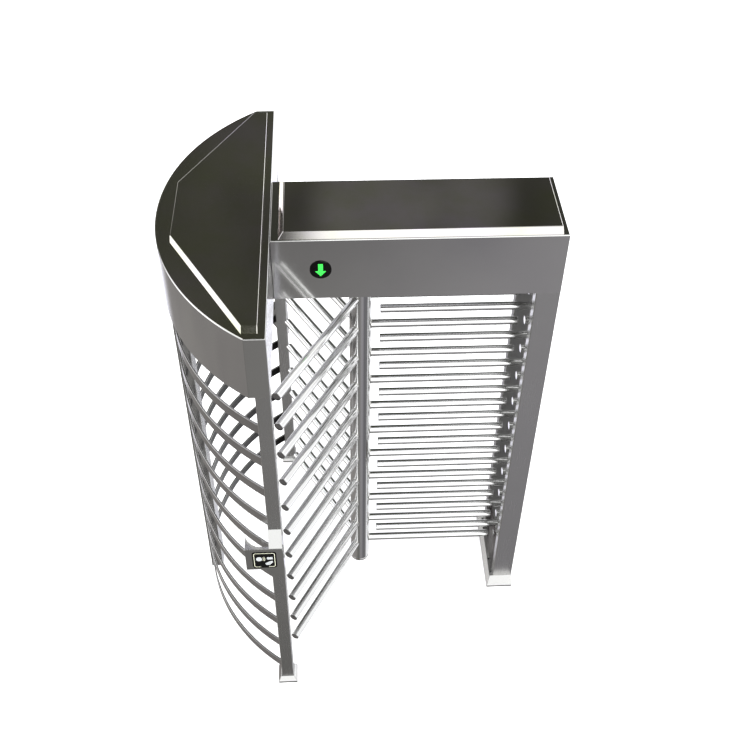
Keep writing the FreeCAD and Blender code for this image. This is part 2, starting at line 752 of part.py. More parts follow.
def reader_housing():
    """A folded housing on the post's face. Its face runs on past the post as a thin tongue,
    with a rounded-out lobe at the tongue's end and a sloped roof over the post."""
    front = -size("reader_front")
    wall = size("reader_wall")
    back = -size("half_depth")
    left = size("post_left - reader_out")

    def slab(inset, near, deep):
        face = outline([(x, near, z) for x, z in reader_front_face(inset)])
        return face.extrude(FreeCAD.Vector(0, deep, 0))

    face = slab(0, front, size("reader_tongue"))
    span = size("flat_side + reader_side") - size("post_left")
    chamfer = size("reader_chamfer")
    body = Part.makeBox(span, size("reader_deep"), size("reader_high - reader_low") - chamfer,
                        FreeCAD.Vector(size("post_left"), front, size("reader_low")))
    neck = Part.makeBox(size("post_wide"), size("reader_deep"), chamfer,
                        FreeCAD.Vector(size("post_left"), front, size("reader_high") - chamfer))
    profile = outline([(size("post_left"), front, size("reader_high")),
                       (size("post_left"), back, size("reader_high")),
                       (size("post_left"), back, size("reader_high + reader_roof"))])
    roof = profile.extrude(FreeCAD.Vector(size("post_wide"), 0, 0))

    rear = front + size("reader_tongue") + size("lobe_deep")
    inner = front + size("reader_tongue")
    corner = FreeCAD.Vector(left, rear, 0)
    foot = FreeCAD.Vector(left + size("lobe_wide"), inner, 0)
    bend = FreeCAD.Vector(left + size("lobe_bow * lobe_wide"), inner + size("lobe_bow * lobe_deep"), 0)
    start = FreeCAD.Vector(left, inner, 0)
    edges = [Part.makeLine(start, corner), Part.Arc(corner, bend, foot).toShape(), Part.makeLine(foot, start)]
    lobe = Part.Face(Part.Wire(edges)).extrude(FreeCAD.Vector(0, 0, size("reader_high - tongue_low")))
    lobe.translate(FreeCAD.Vector(0, 0, size("tongue_low")))

    whole = face.fuse([body, neck, roof, lobe]).removeSplitter()
    hollow = slab(wall, front + wall, size("reader_tongue") - 2 * wall)
    deep_hollow = Part.makeBox(size("post_wide") - 2 * wall, size("reader_deep") - wall,
                               size("reader_high - reader_low") - 2 * wall,
                               FreeCAD.Vector(size("post_left") + wall, front + wall, size("reader_low") + wall))
    pocket = window_block(size("window_thick - window_proud"), size("window_gap"), front)
    return whole.cut([hollow, deep_hollow, pocket])


def window_block(deep, gap, front):
    """The rounded window plate as a block `deep` thick, grown by `gap` all round."""
    right = size("window_right") + gap
    low = size("window_low") - gap
    wide = size("window_wide") + 2 * gap
    high = size("window_high") + 2 * gap
    block = Part.makeBox(wide, deep, high, FreeCAD.Vector(right - wide, front, low))
    upright = [edge for edge in block.Edges if abs(edge.BoundBox.YLength - deep) < 1e-6]
    return block.makeFillet(size("window_radius"), upright)


def readers():
    housing = solid("front_reader_housing", reader_housing())
    node("front_reader_housing", housing)
    node("rear_reader_housing", mirror("rear_reader_housing", housing, (0, 1, 0)))
    front = -size("reader_front + window_proud")
    window = solid("front_reader_window", window_block(size("window_thick"), 0, front))
    node("reader_windows", group("reader_windows", [window, mirror("rear_window", window, (0, 1, 0))]))

    board = box("front_board",
                ("post_wide - 2 * board_edge", "board_thick", "reader_high - reader_low - board_short"),
                ("post_left + board_edge", "-half_depth - board_deep", "reader_low + board_low"))
    antenna = box("front_antenna",
                  ("reader_out - 2 * antenna_edge", "board_thick", "reader_high - tongue_low - 2 * antenna_low"),
                  ("post_left - reader_out + antenna_edge", "-reader_front + antenna_deep",
                   "tongue_low + antenna_low"))
    rear = [mirror("rear_board", board, (0, 1, 0)), mirror("rear_antenna", antenna, (0, 1, 0))]
    node("reader_boards", group("reader_boards", [board, antenna] + rear))


# ------------------------------------------------------------------------- lamp


def arrow_block(across, level, front, deep):
    """A plain arrow that points down, as a thin block."""
    stem = size("arrow_stem")
    head = size("arrow_head")
    top = size("arrow_top")
    neck = -size("arrow_neck")
    points = [(-stem, top), (stem, top), (stem, neck), (head, neck), (0, -size("arrow_point")),
              (-head, neck), (-stem, neck)]
    face = outline([(across + x, front, level + z) for x, z in points])
    return face.extrude(FreeCAD.Vector(0, deep, 0))


def lamps():
    """A round signal lamp on the header's front and one on its rear."""
    at = ("lamp_across", "-header_half - lamp_proud", "lamp_level")
    outer = rod("rim_outer", "lamp_radius", "lamp_proud", at, Y_AXIS)
    bore = rod("rim_bore", "lamp_radius - lamp_rim", "lamp_proud", at, Y_AXIS)
    rim = cut("front_lamp_rim", outer, bore)
    node("lamp_rims", group("lamp_rims", [rim, mirror("rear_lamp_rim", rim, (0, 1, 0))]))

    disc = rod("lens_disc", "lamp_radius - lamp_rim", "lamp_proud - 1",
               ("lamp_across", "-header_half - lamp_proud + 1", "lamp_level"), Y_AXIS)
    back = rod("lens_back", "lamp_radius - lamp_seat - lens_fit", "sheet_wall + lens_tail",
               ("lamp_across", "-header_half", "lamp_level"), Y_AXIS)
    lens = join("front_lamp_lens", disc, back)
    node("lamp_lenses", group("lamp_lenses", [lens, mirror("rear_lamp_lens", lens, (0, 1, 0))]))

    arrow = solid("front_arrow", arrow_block(size("lamp_across"), size("lamp_level"),
                                             -size("header_half + lamp_proud"), 1))
    node("lamp_arrows", group("lamp_arrows", [arrow, mirror("rear_arrow", arrow, (0, 1, 0))]))


# ------------------------------------------------------------ drive in the header


def gear_outline(teeth, module, phase, thin):
    """Points of a spur gear with straight-flanked teeth. The first tooth is centred on `phase`
    degrees, and `thin` is the share of half a pitch that a tooth takes up at the pitch circle."""
    pitch_radius = module * teeth / 2
    step = 2 * math.pi / teeth
    half_tooth = thin * step / 4
    rings = ((pitch_radius - ROOT_DEEP * module, ROOT_WIDTH), (pitch_radius + module, TIP_WIDTH))
    points = []
    for tooth in range(teeth):
        middle = math.radians(phase) + tooth * step
        (root, wide), (tip, narrow) = rings
        for radius, turn in ((root, -wide), (tip, -narrow), (tip, narrow), (root, wide)):
            angle = middle + turn * half_tooth
            points.append((radius * math.cos(angle), radius * math.sin(angle)))
    return points


def gear_solid(teeth, phase, centre, bore):
    level = size("gear_level")
    points = [(centre + x, y, level) for x, y in gear_outline(teeth, size("tooth_module"), phase, TOOTH_SHARE)]
    blank = outline(points).extrude(FreeCAD.Vector(0, 0, size("gear_thick")))
    if bore:
        blank = blank.cut(Part.makeCylinder(bore, size("gear_thick"), FreeCAD.Vector(centre, 0, level)))
    return blank


def gears():
    teeth = int(size("gear_teeth"))
    small = int(size("pinion_teeth"))
    half_tooth = 180.0 / small
    node("main_gear", solid("main_gear", gear_solid(teeth, 0, 0, size("shaft_radius"))))
    floors = (("damper_pinion", 1, "damper_floor"), ("counter_pinion", -1, "counter_floor"))
    for name, side, floor in floors:
        centre = side * size("gear_centres")
        wheel = gear_solid(small, half_tooth, centre, 0)
        low = size("deck_top + shaft_float + " + floor)
        shaft = Part.makeCylinder(size("pinion_shaft"), size("gear_level") - low, FreeCAD.Vector(centre, 0, low))
        node(name, solid(name, wheel.fuse(shaft).removeSplitter()))


def index_wheel():
    """The lock wheel: a disc with square notches round its rim."""
    at = ("0", "0", "wheel_level")
    disc = rod("wheel_disc", "wheel_radius", "wheel_thick", at)
    bore = rod("wheel_bore", "shaft_radius", "wheel_thick", at)
    count = int(size("wheel_notches"))
    notches = []
    for number in range(count):
        notch = box("notch_%d" % number, ("2 * notch_deep", "2 * notch_half", "wheel_thick"),
                    ("wheel_radius - notch_deep", "-notch_half", "wheel_level"))
        turned = group("notch_at_%d" % number, [notch],
                       FreeCAD.Rotation(FreeCAD.Vector(0, 0, 1), 360.0 * number / count))
        notches.append(turned)
    node("index_wheel", cut("index_wheel", disc, bore, group("notches", notches)))


def pawl_shape():
    """One pawl drawn engaged, then swung back to its free position about its pin."""
    pin_x = size("pawl_pin_x")
    pin_y = size("pawl_pin_y")
    level = size("wheel_level + pawl_thin")
    thick = size("wheel_thick - 2 * pawl_thin")
    tip = size("wheel_radius - notch_deep + pawl_tip_gap")
    half = size("pawl_half")
    under = size("wheel_radius + pawl_under")
    tail = pin_x + size("pawl_tail")
    tail_half = size("pawl_tail_half")
    boss_radius = size("pawl_boss")
    points = [(-half, tip), (half, tip), (half, under), (tail, pin_y - tail_half), (tail, pin_y + tail_half),
              (pin_x, pin_y + size("pawl_back")), (-half, under + boss_radius)]
    arm = outline([(x, y, level) for x, y in points]).extrude(FreeCAD.Vector(0, 0, thick))
    boss = Part.makeCylinder(boss_radius, thick, FreeCAD.Vector(pin_x, pin_y, level))
    bore = Part.makeCylinder(size("pawl_pin_radius + shaft_fit"), thick, FreeCAD.Vector(pin_x, pin_y, level))
    shape = arm.fuse(boss).removeSplitter().cut(bore)
    shape.rotate(FreeCAD.Vector(pin_x, pin_y, 0), FreeCAD.Vector(0, 0, 1), -size("pawl_swing"))
    return shape


def locks():
    """A pawl and solenoid for each way of turning, mirrored in the rotor's centre plane."""
    entry = node("entry_pawl", solid("entry_pawl", pawl_shape()))
    node("exit_pawl", mirror("exit_pawl", entry, (0, 1, 0)))

    pin = rod("entry_pin", "pawl_pin_radius", "wheel_level + wheel_thick + pawl_pin_head - deck_top",
              ("pawl_pin_x", "pawl_pin_y", "deck_top"))
    node("pawl_pins", group("pawl_pins", [pin, mirror("exit_pin", pin, (0, 1, 0))]))

    middle = "wheel_level + wheel_thick / 2"
    case = box("coil_case", ("coil_wide", "coil_deep", "coil_high"),
               ("solenoid_x - coil_wide / 2", "solenoid_y", middle + " - coil_high / 2"))
    foot = box("coil_foot", ("coil_foot_wide", "coil_foot_deep", middle + " - coil_high / 2 - deck_top"),
               ("solenoid_x - coil_foot_wide / 2", "solenoid_y + coil_foot_inset", "deck_top"))
    bore = rod("coil_bore", "plunger_radius + shaft_fit", "3 * coil_deep",
               ("solenoid_x", "solenoid_y - coil_deep", middle), Y_AXIS)
    coil = cut("entry_coil", join("coil_body", case, foot), bore)
    node("lock_solenoids", group("lock_solenoids", [coil, mirror("exit_coil", coil, (0, 1, 0))]))

    plunger = rod("entry_plunger", "plunger_radius", "plunger_long",
                  ("solenoid_x", "pawl_pin_y + plunger_gap", middle), Y_AXIS)
    node("entry_plunger", plunger)
    node("exit_plunger", mirror("exit_plunger", plunger, (0, 1, 0)))


def mechanism():
    """The deck over the soffit that carries the top bearing, the damper and the step counter."""
    slab = box("deck_slab", ("2 * deck_half_x", "2 * deck_half_y", "deck_thick"),
               ("-deck_half_x", "-deck_half_y", "inner_deck"))
    hole = rod("deck_hole", "bearing_radius", "deck_thick", ("0", "0", "inner_deck"))
    node("mechanism_deck", cut("mechanism_deck", slab, hole))

    pillars = []
    for number, (side, end) in enumerate(((1, 1), (1, -1), (-1, 1), (-1, -1))):
        at = ("%d * (deck_half_x - pillar_inset)" % side, "%d * (deck_half_y - pillar_inset)" % end,
              "deck_level + sheet_wall")
        pillars.append(rod("pillar_%d" % number, "pillar_radius", "deck_rise", at))
    node("deck_pillars", group("deck_pillars", pillars))

    barrel = rod("bearing_barrel", "bearing_radius", "deck_thick", ("0", "0", "inner_deck"))
    flange = rod("bearing_flange_disc", "bearing_flange", "flange_thick", ("0", "0", "deck_top"))
    bore = rod("bearing_bore", "shaft_radius + shaft_fit", "deck_thick + flange_thick", ("0", "0", "inner_deck"))
    node("top_bearing", cut("top_bearing", join("bearing_body", barrel, flange), bore))

    tub = rod("damper_tub", "damper_radius", "damper_high", ("gear_centres", "0", "deck_top"))
    tub_bore = rod("damper_bore", "pinion_shaft + shaft_fit", "damper_high",
                   ("gear_centres", "0", "deck_top + damper_floor"))
    node("damper_body", cut("damper_body", tub, tub_bore))

    case = box("counter_case", ("counter_wide", "counter_wide", "counter_high"),
               ("-gear_centres - counter_wide / 2", "-counter_wide / 2", "deck_top"))
    case_bore = rod("counter_bore", "pinion_shaft + shaft_fit", "counter_high",
                    ("-gear_centres", "0", "deck_top + counter_floor"))
    node("step_counter_body", cut("step_counter_body", case, case_bore))


def electronics():
    floor = "deck_level + sheet_wall"
    case = box("control_case", ("case_long", "case_deep", "case_high"), ("case_left", "-case_deep / 2", floor))
    hollow = box("control_hollow", ("case_long - 2 * case_wall", "case_deep - 2 * case_wall",
                                    "case_high - 2 * case_wall"),
                 ("case_left + case_wall", "-case_deep / 2 + case_wall", floor + " + case_wall"))
    node("control_box", cut("control_box", case, hollow))
    board = box("control_board", ("case_long - 2 * case_board_edge", "case_deep - 2 * case_board_edge",
                                  "board_thick"),
                ("case_left + case_board_edge", "-case_deep / 2 + case_board_edge", floor + " + case_board_rise"))
    node("control_board", board)
    supply = box("power_supply", ("supply_long", "supply_deep", "supply_high"),
                 ("supply_left", "-supply_deep / 2", floor))
    node("power_supply", supply)


def service_lock():
    """A quarter-turn lock in the soffit that holds the service hatch."""
    face = "deck_level - lock_flange_thick"
    under = rod("lock_flange_disc", "lock_radius + lock_flange", "lock_flange_thick", ("lock_x", "lock_y", face))
    sleeve = rod("lock_sleeve_tube", "lock_radius + lock_sleeve", "lock_sleeve_high",
                 ("lock_x", "lock_y", "deck_level"))
    bore = rod("lock_bore", "lock_radius + shaft_fit", "lock_sleeve_high + lock_flange_thick",
               ("lock_x", "lock_y", face))
    node("service_lock_body", cut("service_lock_body", join("lock_case", under, sleeve), bore))
    plug = rod("lock_plug", "lock_radius", "lock_plug_long", ("lock_x", "lock_y", face))
    slot = box("key_slot", ("key_long", "key_wide", "key_deep"),
               ("lock_x - key_long / 2", "lock_y - key_wide / 2", face))
    cam = box("lock_cam", ("cam_long", "cam_wide", "cam_thick"),
              ("lock_x - cam_wide / 2", "lock_y - cam_wide / 2", "deck_level + lock_sleeve_high + cam_gap"))
    node("service_lock_barrel", cut("service_lock_barrel", join("lock_turning", plug, cam), slot))


# ------------------------------------------------------------------------ build


def check_objects():
    """Stops on any failed feature, and on any sub-part that is empty or not a valid solid."""
    for obj in doc.Objects:
        if "Invalid" in obj.State or "Error" in obj.State:
            raise RuntimeError("failed feature: " + obj.Name)
    for obj in NODES:
        shape = obj.Shape
        if shape.isNull() or not shape.isValid() or not shape.Solids:
            raise RuntimeError("bad sub-part: " + obj.Label)
        if min(solid_piece.Volume for solid_piece in shape.Solids) <= 0:
            raise RuntimeError("inside-out sub-part: " + obj.Label)


def write_parts():
    os.makedirs("parts", exist_ok=True)
    for obj in NODES:
        obj.Shape.exportStep("parts/%s.step" % obj.Label)
        print("%-24s %3d solid(s) %12.0f mm3" % (obj.Label, len(obj.Shape.Solids), obj.Shape.Volume))
    print(len(NODES), "sub-parts")


fill_sheet()
canopy()
canopy_lid()
header()
posts()
floor_plates()
foot_covers()
kick_panel()
cage()
wings()
column()
floor_pivot()
comb()
readers()
lamps()
gears()
index_wheel()
locks()
mechanism()
electronics()
service_lock()
doc.recompute()
check_objects()
write_parts()
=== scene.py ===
# %% [markdown]
# # A full-height turnstile in stainless steel
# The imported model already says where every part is. This lesson gives it its looks:
# folded sheet with soft bends, welded tube, a glowing lamp and a dark reader window.
# Everything is in metres on the model's own axes, so nothing needs fitting.

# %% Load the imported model
import json
import math

import bmesh
import bpy
import numpy as np
from mathutils import Matrix, Vector


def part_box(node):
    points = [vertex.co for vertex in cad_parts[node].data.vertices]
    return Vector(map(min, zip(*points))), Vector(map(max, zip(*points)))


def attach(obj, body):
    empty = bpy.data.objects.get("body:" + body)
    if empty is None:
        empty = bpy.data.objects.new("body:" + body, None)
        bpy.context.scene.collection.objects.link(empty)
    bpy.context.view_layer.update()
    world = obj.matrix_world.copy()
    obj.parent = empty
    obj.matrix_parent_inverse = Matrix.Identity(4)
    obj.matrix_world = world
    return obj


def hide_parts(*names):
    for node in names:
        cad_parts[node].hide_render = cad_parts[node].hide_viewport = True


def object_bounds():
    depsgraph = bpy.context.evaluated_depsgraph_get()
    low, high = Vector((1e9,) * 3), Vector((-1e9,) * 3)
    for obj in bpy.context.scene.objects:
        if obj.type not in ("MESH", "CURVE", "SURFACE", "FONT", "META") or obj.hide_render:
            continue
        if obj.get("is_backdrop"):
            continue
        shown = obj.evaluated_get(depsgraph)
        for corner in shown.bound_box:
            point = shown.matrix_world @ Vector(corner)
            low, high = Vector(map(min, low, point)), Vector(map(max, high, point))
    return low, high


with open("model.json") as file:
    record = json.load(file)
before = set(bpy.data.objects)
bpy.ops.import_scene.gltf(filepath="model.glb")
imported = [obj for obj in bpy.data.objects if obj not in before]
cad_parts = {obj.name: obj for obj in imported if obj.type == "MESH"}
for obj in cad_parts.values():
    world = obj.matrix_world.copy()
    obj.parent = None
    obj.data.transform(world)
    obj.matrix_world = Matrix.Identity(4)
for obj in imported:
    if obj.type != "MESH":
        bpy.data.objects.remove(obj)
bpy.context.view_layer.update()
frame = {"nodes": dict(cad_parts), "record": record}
MM = 0.001

# %% [markdown]
# ## The camera
# The view looks down at the canopy at about 45 degrees, a little from the left. The
# three angles give a forward, a right and an up direction, and those three are the
# columns of the camera's matrix. A camera looks along its own minus Z.

# %% Camera
YAW, PITCH, ROLL = (math.radians(a) for a in (3.34, -44.76, 0.91))
CAMERA_PLACE = (-0.1321, -3.4275, 4.7767)
LENS_MM, SENSOR_MM = 50.79, 36
NEAREST, FARTHEST = 0.05, 200
ahead = math.cos(PITCH)
forward = Vector((math.sin(YAW) * ahead, math.cos(YAW) * ahead, math.sin(PITCH)))
level_right = Vector((math.cos(YAW), -math.sin(YAW), 0))
level_up = level_right.cross(forward)
right = level_right * math.cos(ROLL) + level_up * math.sin(ROLL)
upward = level_up * math.cos(ROLL) - level_right * math.sin(ROLL)
lens = bpy.data.cameras.new("studio_camera")
lens.sensor_width = SENSOR_MM
lens.lens = LENS_MM
lens.clip_start, lens.clip_end = NEAREST, FARTHEST
camera = bpy.data.objects.new("studio_camera", lens)
bpy.context.scene.collection.objects.link(camera)
turn = Matrix((right, upward, -forward)).transposed().to_4x4()
camera.matrix_world = Matrix.Translation(CAMERA_PLACE) @ turn
bpy.context.scene.camera = camera
bpy.context.scene.view_settings.view_transform = "Standard"
print("camera looks along", [round(x, 2) for x in forward])

# %% [markdown]
# ## Node helpers
# A material here is a small graph of nodes. One helper adds a node and fills its
# sockets: a plain value goes on the socket itself, and another node's output is linked.


# %% Node helpers
def add(tree, kind, sockets=(), **settings):
    """Adds a node, sets its settings, and fills its sockets by name or number."""
    made = tree.nodes.new(kind)
    for name, value in settings.items():
        setattr(made, name, value)
    for name, value in dict(sockets).items():
        if isinstance(value, bpy.types.NodeSocket):
            tree.links.new(value, made.inputs[name])
        else:
            made.inputs[name].default_value = value
    return made


def noise(tree, vector, scale, detail=3.0, roughness=0.55):
    """Smooth random value from 0 to 1, `scale` bumps per metre."""
    sockets = {"Vector": vector, "Scale": scale, "Detail": detail, "Roughness": roughness}
    return add(tree, "ShaderNodeTexNoise", sockets).outputs["Fac"]


def spread(tree, value, low, high, start=0.3, stop=0.7):
    """Straight map of start..stop onto low..high, held at the ends."""
    sockets = {"Value": value, "From Min": start, "From Max": stop, "To Min": low, "To Max": high}
    return add(tree, "ShaderNodeMapRange", sockets).outputs["Result"]


def blend_colour(tree, share, first, second):
    """Colour that goes from first to second as share goes from 0 to 1."""
    mix = add(tree, "ShaderNodeMix", {0: share, 6: (*first, 1), 7: (*second, 1)}, data_type="RGBA")
    return mix.outputs[2]


def begin(name, **sockets):
    """An empty material with one surface shader, and its Object coordinates."""
    material = bpy.data.materials.new(name)
    material.use_nodes = True
    tree = material.node_tree
    tree.nodes.clear()
    fixed = {key.replace("_", " "): value for key, value in sockets.items()}
    shader = add(tree, "ShaderNodeBsdfPrincipled", fixed)
    out = add(tree, "ShaderNodeOutputMaterial")
    tree.links.new(shader.outputs[0], out.inputs[0])
    place = add(tree, "ShaderNodeTexCoord").outputs["Object"]
    return material, tree, shader, place


def raise_grain(tree, shader, height, strength, distance):
    """Turns a height pattern into small tilts of the surface."""
    sockets = {"Height": height, "Strength": strength, "Distance": distance}
    tree.links.new(add(tree, "ShaderNodeBump", sockets).outputs[0], shader.inputs["Normal"])


print("node helpers ready")

# %% [markdown]
# ## The studio
# Bright steel has hardly any colour of its own: it shows the room. So the room is
# designed first. It is bright in front and above, grey low in front, dim high behind,
# and bright low behind, which is what gives flat sheet its dark tops and grey flanks.
# A patch is as strong as the cosine of the angle to its middle, eased between two
# limits. The two big softboxes also have a straight edge, at a given x.

# %% Studio light
PATCHES = (  # direction, cosine where it starts, cosine where it is full, radiance
    ((0.00, -0.87, -0.50), 0.79, 0.96, (0.180, 0.173, 0.182)),
    ((-0.75, 0.18, -0.63), 0.52, 0.80, (0.240, 0.225, 0.230)),
    ((0.50, -0.50, -0.70), 0.80, 0.95, (0.120, 0.115, 0.140)),
    ((0.27, 0.74, -0.61), 0.95, 0.98, (0.26, 0.26, 0.27)),
    ((0.00, -1.00, 0.03), 0.87, 0.96, (1.30, 1.31, 1.33)),
    ((-0.97, 0.14, -0.08), 0.84, 0.94, (1.45, 1.45, 1.47)),
    ((-0.84, -0.02, 0.54), 0.66, 0.88, (1.25, 1.26, 1.30)),
    ((0.93, 0.22, 0.30), 0.62, 0.84, (1.20, 1.20, 1.23)),
    ((0.78, 0.62, 0.02), 0.84, 0.94, (1.30, 1.30, 1.36)),
    ((0.70, 0.36, -0.62), 0.82, 0.93, (1.05, 1.06, 1.10)),
    ((0.40, 0.90, -0.12), 0.91, 0.97, (1.05, 1.06, 1.10)),
    ((-0.30, 0.92, -0.15), 0.957, 0.98, (1.05, 1.06, 1.10)),
    ((-0.28, 0.87, 0.36), 0.978, 0.992, (0.90, 0.90, 0.93)),
    ((0.36, 0.46, 0.81), 0.95, 0.985, (1.20, 1.21, 1.23)),
    ((-0.38, 0.44, 0.81), 0.95, 0.985, (1.20, 1.21, 1.23)),
    ((0.043, 0.813, 0.583), 0.9975, 0.9997, (0.085, 0.083, 0.085)),
    ((0.130, 0.806, 0.578), 0.9985, 0.9998, (0.060, 0.058, 0.062)),
)
FRONT_BOX = ((0.10, -0.62, 0.78), 0.58, 0.80, (1.65, 1.66, 1.68))
FRONT_BOX_EDGE = (-0.045, 0.005)  # x where the front softbox begins
REAR_BOX = ((0.02, 0.80, -0.60), 0.88, 0.975, (1.15, 1.15, 1.32))
REAR_BOX_EDGE = (0.17, 0.10)  # x where the rear softbox ends
ROOM_TINT = (0.052, 0.053, 0.043)
SUN_POWER, SUN_WIDTH, SUN_TILT = 2.6, 60, (12, -10, 0)  # the last two in degrees

world = bpy.data.worlds.new("studio_room")
bpy.context.scene.world = world
world.use_nodes = True
room = world.node_tree
room.nodes.clear()
toward = add(room, "ShaderNodeTexCoord").outputs["Generated"]
drift = spread(room, noise(room, toward, 7.0, 2.0), 0.55, 2.0)
total = add(room, "ShaderNodeVectorMath", {0: ROOM_TINT, 3: drift}, operation="SCALE").outputs[0]


def eased(value, begins, full):
    """0 below begins, 1 above full, and a smooth step between."""
    sockets = {"Value": value, "From Min": begins, "From Max": full}
    curve = add(room, "ShaderNodeMapRange", sockets, interpolation_type="SMOOTHSTEP")
    return curve.outputs["Result"]


def softbox(total, direction, begins, full, radiance, edge=None):
    """Adds one patch of light to the room: total + share * radiance. An edge gives the x
    where the patch is dark and the x where it is lit, and cuts one side off."""
    unit = Vector(direction).normalized()
    cosine = add(room, "ShaderNodeVectorMath", {0: toward, 1: unit}, operation="DOT_PRODUCT")
    share = eased(cosine.outputs["Value"], begins, full)
    if edge:
        across = add(room, "ShaderNodeSeparateXYZ", {0: toward}).outputs[0]
        sockets = {0: share, 1: eased(across, *edge)}
        share = add(room, "ShaderNodeMath", sockets, operation="MULTIPLY").outputs[0]
    sockets = {0: share, 1: radiance, 2: total}
    return add(room, "ShaderNodeVectorMath", sockets, operation="MULTIPLY_ADD").outputs[0]


for patch in PATCHES:
    total = softbox(total, *patch)
total = softbox(total, *FRONT_BOX, edge=FRONT_BOX_EDGE)
total = softbox(total, *REAR_BOX, edge=REAR_BOX_EDGE)
seen = add(room, "ShaderNodeBackground", {"Color": (1, 1, 1, 1), "Strength": 1.0})
lit = add(room, "ShaderNodeBackground", {"Color": total, "Strength": 1.0})
direct = add(room, "ShaderNodeLightPath").outputs["Is Camera Ray"]
both = add(room, "ShaderNodeMixShader", {0: direct, 1: lit.outputs[0], 2: seen.outputs[0]})
room.links.new(both.outputs[0], add(room, "ShaderNodeOutputWorld").inputs[0])

lamp = bpy.data.lights.new("overhead_softbox", "SUN")
lamp.energy = SUN_POWER
lamp.angle = math.radians(SUN_WIDTH)
overhead = bpy.data.objects.new("overhead_softbox", lamp)
overhead.visible_glossy = False
overhead.rotation_euler = [math.radians(a) for a in SUN_TILT]
bpy.context.scene.collection.objects.link(overhead)
print("studio has", len(PATCHES) + 2, "soft patches")

# %% [markdown]
# ## The floor
# A wide pale sheet that glows a little. It is left out of mirror reflections, because the
# room already holds the light that the steel should show from below.

# %% Floor
FLOOR_HALF, FLOOR_DROP, FLOOR_GLOW = 40.0, 0.0005, 0.45
floor_finish, tree, shader, place = begin("pale_floor", Roughness=0.9)
tone = spread(tree, noise(tree, place, 1.5), 0.0, 1.0)
pale = blend_colour(tree, tone, (0.90, 0.90, 0.90), (0.93, 0.93, 0.93))
tree.links.new(pale, shader.inputs["Base Color"])
shader.inputs["Emission Color"].default_value = (1, 1, 1, 1)
shader.inputs["Emission Strength"].default_value = FLOOR_GLOW
floor_mesh = bpy.data.meshes.new("studio_floor")
floor_corners = [(x * FLOOR_HALF, y * FLOOR_HALF, 0) for x, y in ((-1, -1), (1, -1), (1, 1), (-1, 1))]
floor_mesh.from_pydata(floor_corners, [], [(0, 1, 2, 3)])
studio_floor = bpy.data.objects.new("studio_floor", floor_mesh)
studio_floor.location.z = -FLOOR_DROP
studio_floor.visible_glossy = False
floor_mesh.materials.append(floor_finish)
bpy.context.scene.collection.objects.link(studio_floor)
studio_floor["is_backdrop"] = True
print("floor is", 2 * FLOOR_HALF, "metres wide")

# %% [markdown]
# ## Stainless steel
# Satin stainless is ground with abrasive belts, so it carries fine hairlines in one
# direction. A noise pattern squeezed hard across the grain and stretched along it gives
# those hairs. They tilt the surface a little and change its gloss. A slow second noise
# adds the hand marks and uneven polish of a real machine.


# %% Steel finishes
def steel(name, tint, grain, gloss, turned=0.0, hair=0.05, reflection_tint=None):
    """Metal with hairlines. The grain is the pattern's frequency along x, y and z, per metre,
    and roughness follows 0.55 * hairs + 0.45 * marks. A second tint, when given, spreads in soft clouds
    as a painted reflection; without one the clouds are a slightly duller tone of the metal."""
    material, tree, shader, place = begin(name, Metallic=1.0)
    sockets = {"Vector": place, "Rotation": (0, 0, turned), "Scale": grain}
    along = add(tree, "ShaderNodeMapping", sockets).outputs[0]
    lines = noise(tree, along, 1.0, 4.0, 0.65)
    marks = noise(tree, place, 3.0, 5.0, 0.6)
    cloud_tint = reflection_tint or tuple(c * 0.95 for c in tint)
    colour = blend_colour(tree, spread(tree, marks, 0, 1), cloud_tint, tint)
    tree.links.new(colour, shader.inputs["Base Color"])
    fine = add(tree, "ShaderNodeMath", {0: lines, 1: 0.55}, operation="MULTIPLY").outputs[0]
    mixed = add(tree, "ShaderNodeMath", {0: marks, 1: 0.45, 2: fine}, operation="MULTIPLY_ADD")
    tree.links.new(spread(tree, mixed.outputs[0], *gloss), shader.inputs["Roughness"])
    raise_grain(tree, shader, lines, hair, 0.0003)
    return material


SATIN = (0.62, 0.618, 0.606)
BRIGHT = (0.74, 0.74, 0.735)
REFLECTED_OLIVE, REFLECTED_MAUVE = (0.61, 0.62, 0.48), (0.72, 0.66, 0.74)
SHADED_POST_TINT, KICK_SHADE_TINT, BAR_SHADE_TINT = (0.38, 0.378, 0.372), (0.12, 0.10, 0.10), (0.47, 0.465, 0.455)
steel_upright = steel("satin_steel_upright", SATIN, (900, 900, 7), (0.23, 0.29), hair=0.01)
steel_across = steel("satin_steel_across", SATIN, (7, 900, 900), (0.06, 0.13), hair=0.02)
steel_round = steel("satin_steel_round", SATIN, (8, 8, 900), (0.10, 0.20), hair=0.03)
# Olive tint with lavender clouds for the tops and lids: painted reflection of the dim room above them.
top_reflection_steel = steel("satin_steel_top_painted_reflection", REFLECTED_OLIVE, (700, 6, 700), (0.05, 0.12), hair=0.02, reflection_tint=REFLECTED_MAUVE)
lid_reflection_steel = steel("satin_steel_lid_painted_reflection", REFLECTED_OLIVE, (7, 900, 900), (0.04, 0.10), hair=0.02, reflection_tint=REFLECTED_MAUVE)
# A darker tint for the two inner posts: painted shade.
shaded_post_steel = steel("shaded_steel_post", SHADED_POST_TINT, (900, 900, 7), (0.44, 0.52), hair=0.01)
# Near-black steel for the kick panel: painted shade inside the frame.
kick_shade_steel = steel("painted_shade_steel_kick_plate", KICK_SHADE_TINT, (900, 900, 7), (0.30, 0.40), hair=0.02)
tube_across = steel("polished_tube_across", BRIGHT, (6, 1100, 1100), (0.07, 0.15), hair=0.03)
tube_upright = steel("polished_tube_upright", BRIGHT, (1100, 1100, 6), (0.08, 0.16), hair=0.03)
# The bars' steel has a darker tint than the other sheet: painted shade.
flat_bar = steel("satin_flat_bar_painted_shade", BAR_SHADE_TINT, (9, 9, 1000), (0.12, 0.22), hair=0.03)
